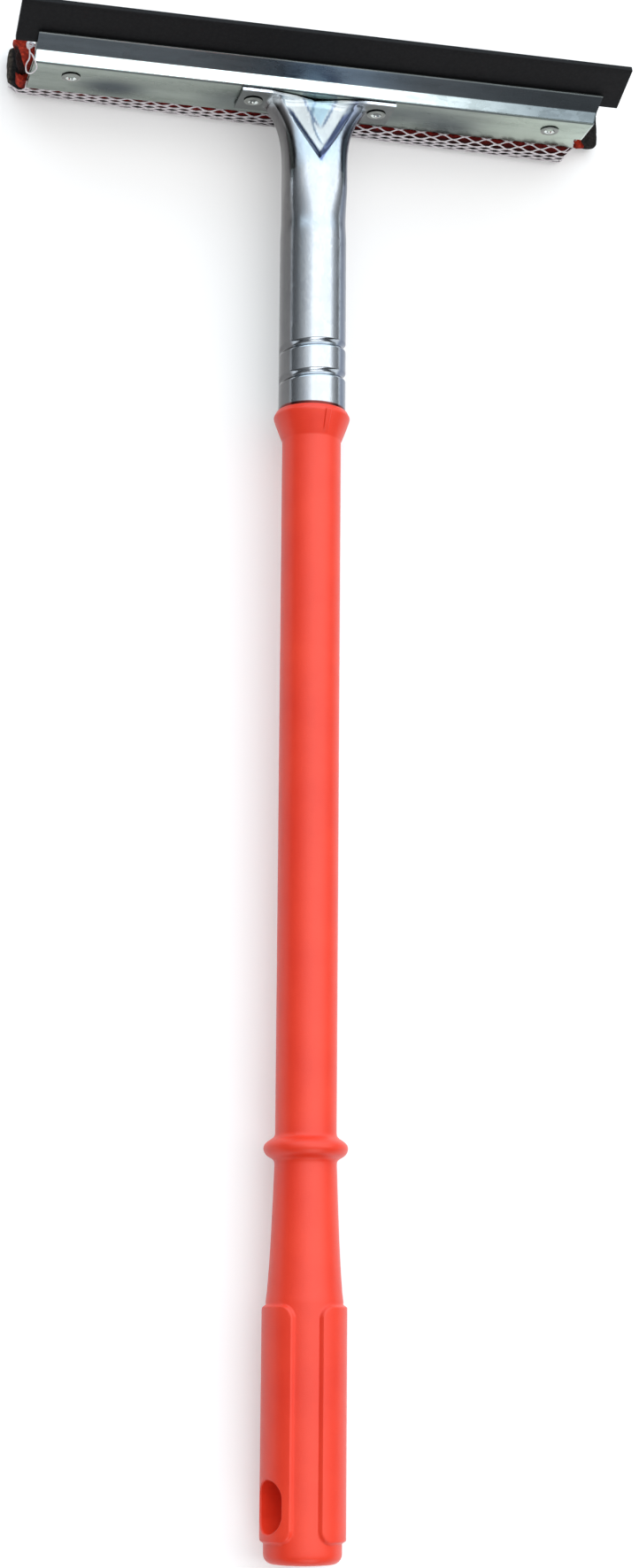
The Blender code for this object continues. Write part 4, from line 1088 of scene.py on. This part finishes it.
def roundedEnds(share, low, high, end):
    # Caps of rings that grow from the middle, then close stations where the pad draws in.
    spec = soft
    length, smallest = end
    near = min(share, 1 - share)
    if near < spec["capShare"]:
        out = near / spec["capShare"]
        inset, size = spec["dome"] * out ** 2, spec["capSize"] + (smallest - spec["capSize"]) * out
    elif near < spec["endShare"]:
        inside = (near - spec["capShare"]) / (spec["endShare"] - spec["capShare"])
        inset = spec["dome"] + (length - spec["dome"]) * (1 - cos(inside * pi / 2))
        size = smallest + (1 - smallest) * sin(inside * pi / 2) ** 0.8
    else:
        inner = (near - spec["endShare"]) / (1 - 2 * spec["endShare"])
        inset, size = length + (high - low - 2 * length) * inner, 1.0
    return (low + inset if share < 0.5 else high - inset), size


def clipOutline(points, limit, keepRear):
    kept = []
    for i, point in enumerate(points):
        before = points[i - 1]
        inside, wasInside = (point.z < limit) == keepRear, (before.z < limit) == keepRear
        if inside != wasInside:
            kept.append(before.lerp(point, (limit - before.z) / (point.z - before.z)))
        if inside:
            kept.append(point)
    return kept


def buildFoam():
    spec = soft
    nose = Vector((0.0, spec["seat"], spec["frontEdge"] - (spec["base"] + spec["nose"] - spec["seat"])))
    heel = [Vector((0.0, level, shelfBack + 0.7)) for level in (spec["seat"], spec["base"])]
    outline = heel + wrapPath()[1:] + [nose]
    seam = -spec["rear"] + spec["scrub"]
    sponge = foamPiece("spongePad", clipOutline(outline, seam + 0.15, False), -spec["padHalf"],
                       spec["padHalf"], spec["padEnd"])
    scrub = foamPiece("scrubLayer", clipOutline(outline, seam - 0.15, True), -spec["scrubHalf"],
                      spec["scrubRight"], spec["scrubEnd"])
    for vertex in sponge.data.vertices:
        vertex.co.x -= spec["drawnIn"] * rising(vertex.co.z, -12.0, 12.0) * falling(vertex.co.x, -90.0, 6.0)
    paintTone(sponge, spongeTone)
    paintTone(scrub, scrubTone)
    for vertex in sponge.data.vertices:
        shapeSponge(vertex.co)
    for piece, node, slot, material in ((sponge, "sponge_pad", "red_foam", redFoam),
                                        (scrub, "scrub_layer", "dark_foam", darkFoam)):
        for vertex in piece.data.vertices:
            vertex.co.y += sagFall(vertex.co)
            broad, fine = noise.noise_vector(vertex.co * 0.11), noise.noise_vector(vertex.co * 0.5)
            vertex.co += broad * 0.25 + fine * 0.12
        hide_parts(node)
        finishPiece(piece, "head", slot, material, 60)


def buildThread(name, route, thick, steps):
    # Round thread on a smooth curve through its points.
    points = [Vector(point) for point in route]

    def middle(share):
        reach = share * (len(points) - 1)
        k = min(len(points) - 2, int(reach))
        part = reach - k
        a, b, c, d = [points[min(len(points) - 1, max(0, k + i))] for i in (-1, 0, 1, 2)]
        return 0.5 * (2 * b + (c - a) * part + (2 * a - 5 * b + 4 * c - d) * part ** 2
                      + (3 * b - a - 3 * c + d) * part ** 3)

    def place(across, along):
        way = (middle(min(1.0, along + 0.01)) - middle(max(0.0, along - 0.01))).normalized()
        beside = way.cross(Vector((0.3, 0.2, 1.0))).normalized()
        over = way.cross(beside)
        angle = 2 * pi * across
        size = thick / 2 * (1.0 + 0.15 * noise.noise(Vector((along * 11.0, 2.0, 5.0))))
        return middle(along) + (beside * cos(angle) + over * sin(angle)) * size

    return closeEnds(shapedGrid(name, 8, steps, place, closed=True))


def buildNet():
    # Zigzag strands side by side, joined where their corners meet, lying on the foam.
    spec = soft
    path = evenPath(wrapPath(), 0.5)
    pitch = (spec["netRight"] - spec["netLeft"]) / spec["netColumns"]
    deselectAll()
    made = []
    for i in range(2 * spec["netColumns"]):
        side = 1 if i % 2 else -1
        across = spec["netLeft"] + pitch * (i // 2 + 0.5)
        hung = [Vector((across, point.y, point.z)) for point in path]
        lengths = pathLengths([spot + Vector((0.0, sagFall(spot), 0.0)) for spot in hung])

        def middle(share):
            row = min(spec["netRows"] - 1, int(share * spec["netRows"]))
            part = share * spec["netRows"] - row
            x = across + side * pitch / 2 * (part if row % 2 == 0 else 1 - part)
            x += 0.3 * noise.noise(Vector((x * 0.4, share * 30.0, 3.0)))
            point, out = pathPoint(path, lengths, (row + ease(part)) / spec["netRows"])
            spot = Vector((x, point.y, point.z))
            drawn = max(rising(spot.z, -17.0, 3.0), rising(spot.y, 351.0, 4.0))
            spot.x += max(0.0, spec["netFront"] - x) * drawn
            spot.y += sagFall(spot)
            return spot + out * spec["lift"], out

        def place(across, along):
            spot, out = middle(along)
            ahead = middle(min(1.0, along + 0.004))[0] - middle(max(0.0, along - 0.004))[0]
            beside = ahead.cross(out).normalized()
            angle = 2 * pi * across
            return spot + beside * spec["strand"] / 2 * cos(angle) + out * 0.25 * sin(angle)

        strand = shapedGrid("strand", 6, spec["netRows"] * spec["rowSteps"], place, closed=True)
        made.append(closeEnds(strand))
    for name, route, thick in spec["threads"]:
        made.append(buildThread(name, route, thick, 8 * len(route)))
    deselectAll()
    for strand in made:
        strand.select_set(True)
    bpy.context.view_layer.objects.active = made[0]
    bpy.ops.object.join()
    piece = bpy.context.object
    piece.name = "netStrands"
    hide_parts("net_cover")
    return finishPiece(piece, "head", "net_thread", whiteThread, 60)


buildFoam()
netStrands = buildNet()
print("foam and net", len(netStrands.data.polygons))

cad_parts["mouth_plug"].data.materials.clear()
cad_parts["mouth_plug"].data.materials.append(ivoryPlastic)

# Floor, light and camera
studio = {
    "floor": 0.7, "floorGlow": 0.32, "key": 0.6, "keyPlace": (0.27, -0.1, 1.1), "keySize": 0.8,
    "around": ((-180, 0.12), (-90, 0.05), (-70, 0.05), (-50, 0.2), (-10, 0.3), (52, 0.25), (62, 0.1),
               (105, 0.06), (120, 0.15), (180, 0.12)),
    "overhead": ((-180, 0.1), (-88, 0.05), (-68, 0.1), (-44, 0.28), (-24, 0.6), (-12, 1.0), (50, 1.0),
                 (64, 0.3), (84, 0.12), (110, 0.13), (180, 0.15)),
    "overheadLevel": 2.1, "overheadStart": -0.2, "overheadStop": 0.55,
    "frontBox": (-12, 48, -0.97, -0.66), "frontColour": (2.6, 2.6, 2.63),
    "skyBox": (-60, 75, 0.5, 1.2), "skyColour": (1.7, 2.0, 2.2),
    "lens": 65.0, "eye": (-203.8, -60.1, 855.5), "right": (0.9715, 0.0073, 0.2369),
    "up": (-0.0531, 0.9808, 0.1878), "back": (-0.231, -0.195, 0.9532),
}


def buildFloor():
    deselectAll()
    bpy.ops.mesh.primitive_plane_add(size=12, location=(0, 0, -0.0005))
    floor = nameNew("floor")
    material, tree, shader = newMaterial("paleFloor")
    shader.inputs["Base Color"].default_value = (studio["floor"],) * 3 + (1.0,)
    shader.inputs["Roughness"].default_value = 0.9
    shader.inputs["Specular IOR Level"].default_value = 0.0
    shader.inputs["Emission Color"].default_value = (1.0, 1.0, 1.0, 1.0)
    ray = addNode(tree, "ShaderNodeLightPath")
    seen = combine(tree, "ADD", ray.outputs["Is Camera Ray"], ray.outputs["Is Glossy Ray"])
    seen = combine(tree, "ADD", seen, ray.outputs["Is Transmission Ray"], use_clamp=True)
    tree.links.new(combine(tree, "MULTIPLY", seen, studio["floorGlow"]), shader.inputs["Emission Strength"])
    floor.data.materials.append(material)


def windowShare(tree, value, low, high, border):
    # 1 between two values, 0 outside them, with soft borders.
    rise = addNode(tree, "ShaderNodeMapRange",
                   {"Value": value, "From Min": low - border, "From Max": low + border},
                   interpolation_type="SMOOTHSTEP")
    drop = addNode(tree, "ShaderNodeMapRange",
                   {"Value": value, "From Min": high - border, "From Max": high + border, "To Min": 1.0,
                    "To Max": 0.0}, interpolation_type="SMOOTHSTEP")
    return combine(tree, "MULTIPLY", rise.outputs[0], drop.outputs[0])


def angleBands(tree, angle, marks, level):
    # Grey levels by angle round the handle.
    share = addNode(tree, "ShaderNodeMapRange", {"Value": angle, "From Min": -pi, "From Max": pi})
    bands = addNode(tree, "ShaderNodeValToRGB", {"Fac": share.outputs[0]})
    for k, (degrees, grey) in enumerate(marks):
        place = (degrees + 180) / 360
        if k < 2:
            mark = bands.color_ramp.elements[k]
            mark.position = place
        else:
            mark = bands.color_ramp.elements.new(place)
        mark.color = (grey, grey, grey, 1.0)
    scaled = addNode(tree, "ShaderNodeVectorMath", {0: bands.outputs["Color"], "Scale": level},
                     operation="SCALE")
    return scaled.outputs[0]


def buildWorld():
    # Grey walls, a softbox over the handle, one in front of the head, and bluish light beyond the head.
    world = bpy.data.worlds.new("studio")
    bpy.context.scene.world = world
    world.use_nodes = True
    tree = world.node_tree
    background = tree.nodes["Background"]
    way = addNode(tree, "ShaderNodeTexCoord")
    parts = addNode(tree, "ShaderNodeSeparateXYZ", {0: way.outputs["Generated"]})
    angle = combine(tree, "ARCTAN2", parts.outputs["X"], parts.outputs["Z"])
    overhead = windowShare(tree, parts.outputs["Y"], studio["overheadStart"], studio["overheadStop"], 0.05)
    total = mixColours(tree, overhead, angleBands(tree, angle, studio["around"], 1.0),
                       angleBands(tree, angle, studio["overhead"], studio["overheadLevel"]))
    for box, colour, border in (("skyBox", "skyColour", 0.12), ("frontBox", "frontColour", 0.05)):
        left, right, low, high = studio[box]
        across = windowShare(tree, angle, radians(left), radians(right), 1.4 * border)
        along = windowShare(tree, parts.outputs["Y"], low, high, border)
        total = mixColours(tree, combine(tree, "MULTIPLY", across, along), total, studio[colour])
    ray = addNode(tree, "ShaderNodeLightPath")
    seen = mixColours(tree, ray.outputs["Is Camera Ray"], total, (1.0, 1.0, 1.0))
    tree.links.new(seen, background.inputs["Color"])


def addLamp(name, place, target, size, power):
    lamp = bpy.data.lights.new(name, "AREA")
    lamp.shape = "DISK"
    lamp.size = size
    lamp.energy = power
    thing = bpy.data.objects.new(name, lamp)
    bpy.context.scene.collection.objects.link(thing)
    thing.location = place
    thing.rotation_euler = (Vector(target) - Vector(place)).to_track_quat("-Z", "Y").to_euler()


def buildCamera():
    turn = layDown.to_3x3().normalized()
    eye = layDown @ Vector(studio["eye"])
    axes = [(turn @ Vector(studio[key])).normalized() for key in ("right", "up", "back")]
    camera = bpy.data.cameras.new("camera")
    camera.sensor_fit = "VERTICAL"
    camera.sensor_height = 36.0
    camera.lens = studio["lens"]
    camera.clip_start = 0.05
    thing = bpy.data.objects.new("camera", camera)
    bpy.context.scene.collection.objects.link(thing)
    placed = Matrix((axes[0], axes[1], axes[2])).transposed().to_4x4()
    placed.translation = eye
    thing.matrix_world = placed
    bpy.context.scene.camera = thing


buildFloor()
buildWorld()
addLamp("keyLamp", studio["keyPlace"], (0, 0.05, 0), studio["keySize"], studio["key"])
buildCamera()
bpy.context.scene.view_settings.view_transform = "Standard"
print("stage ready")
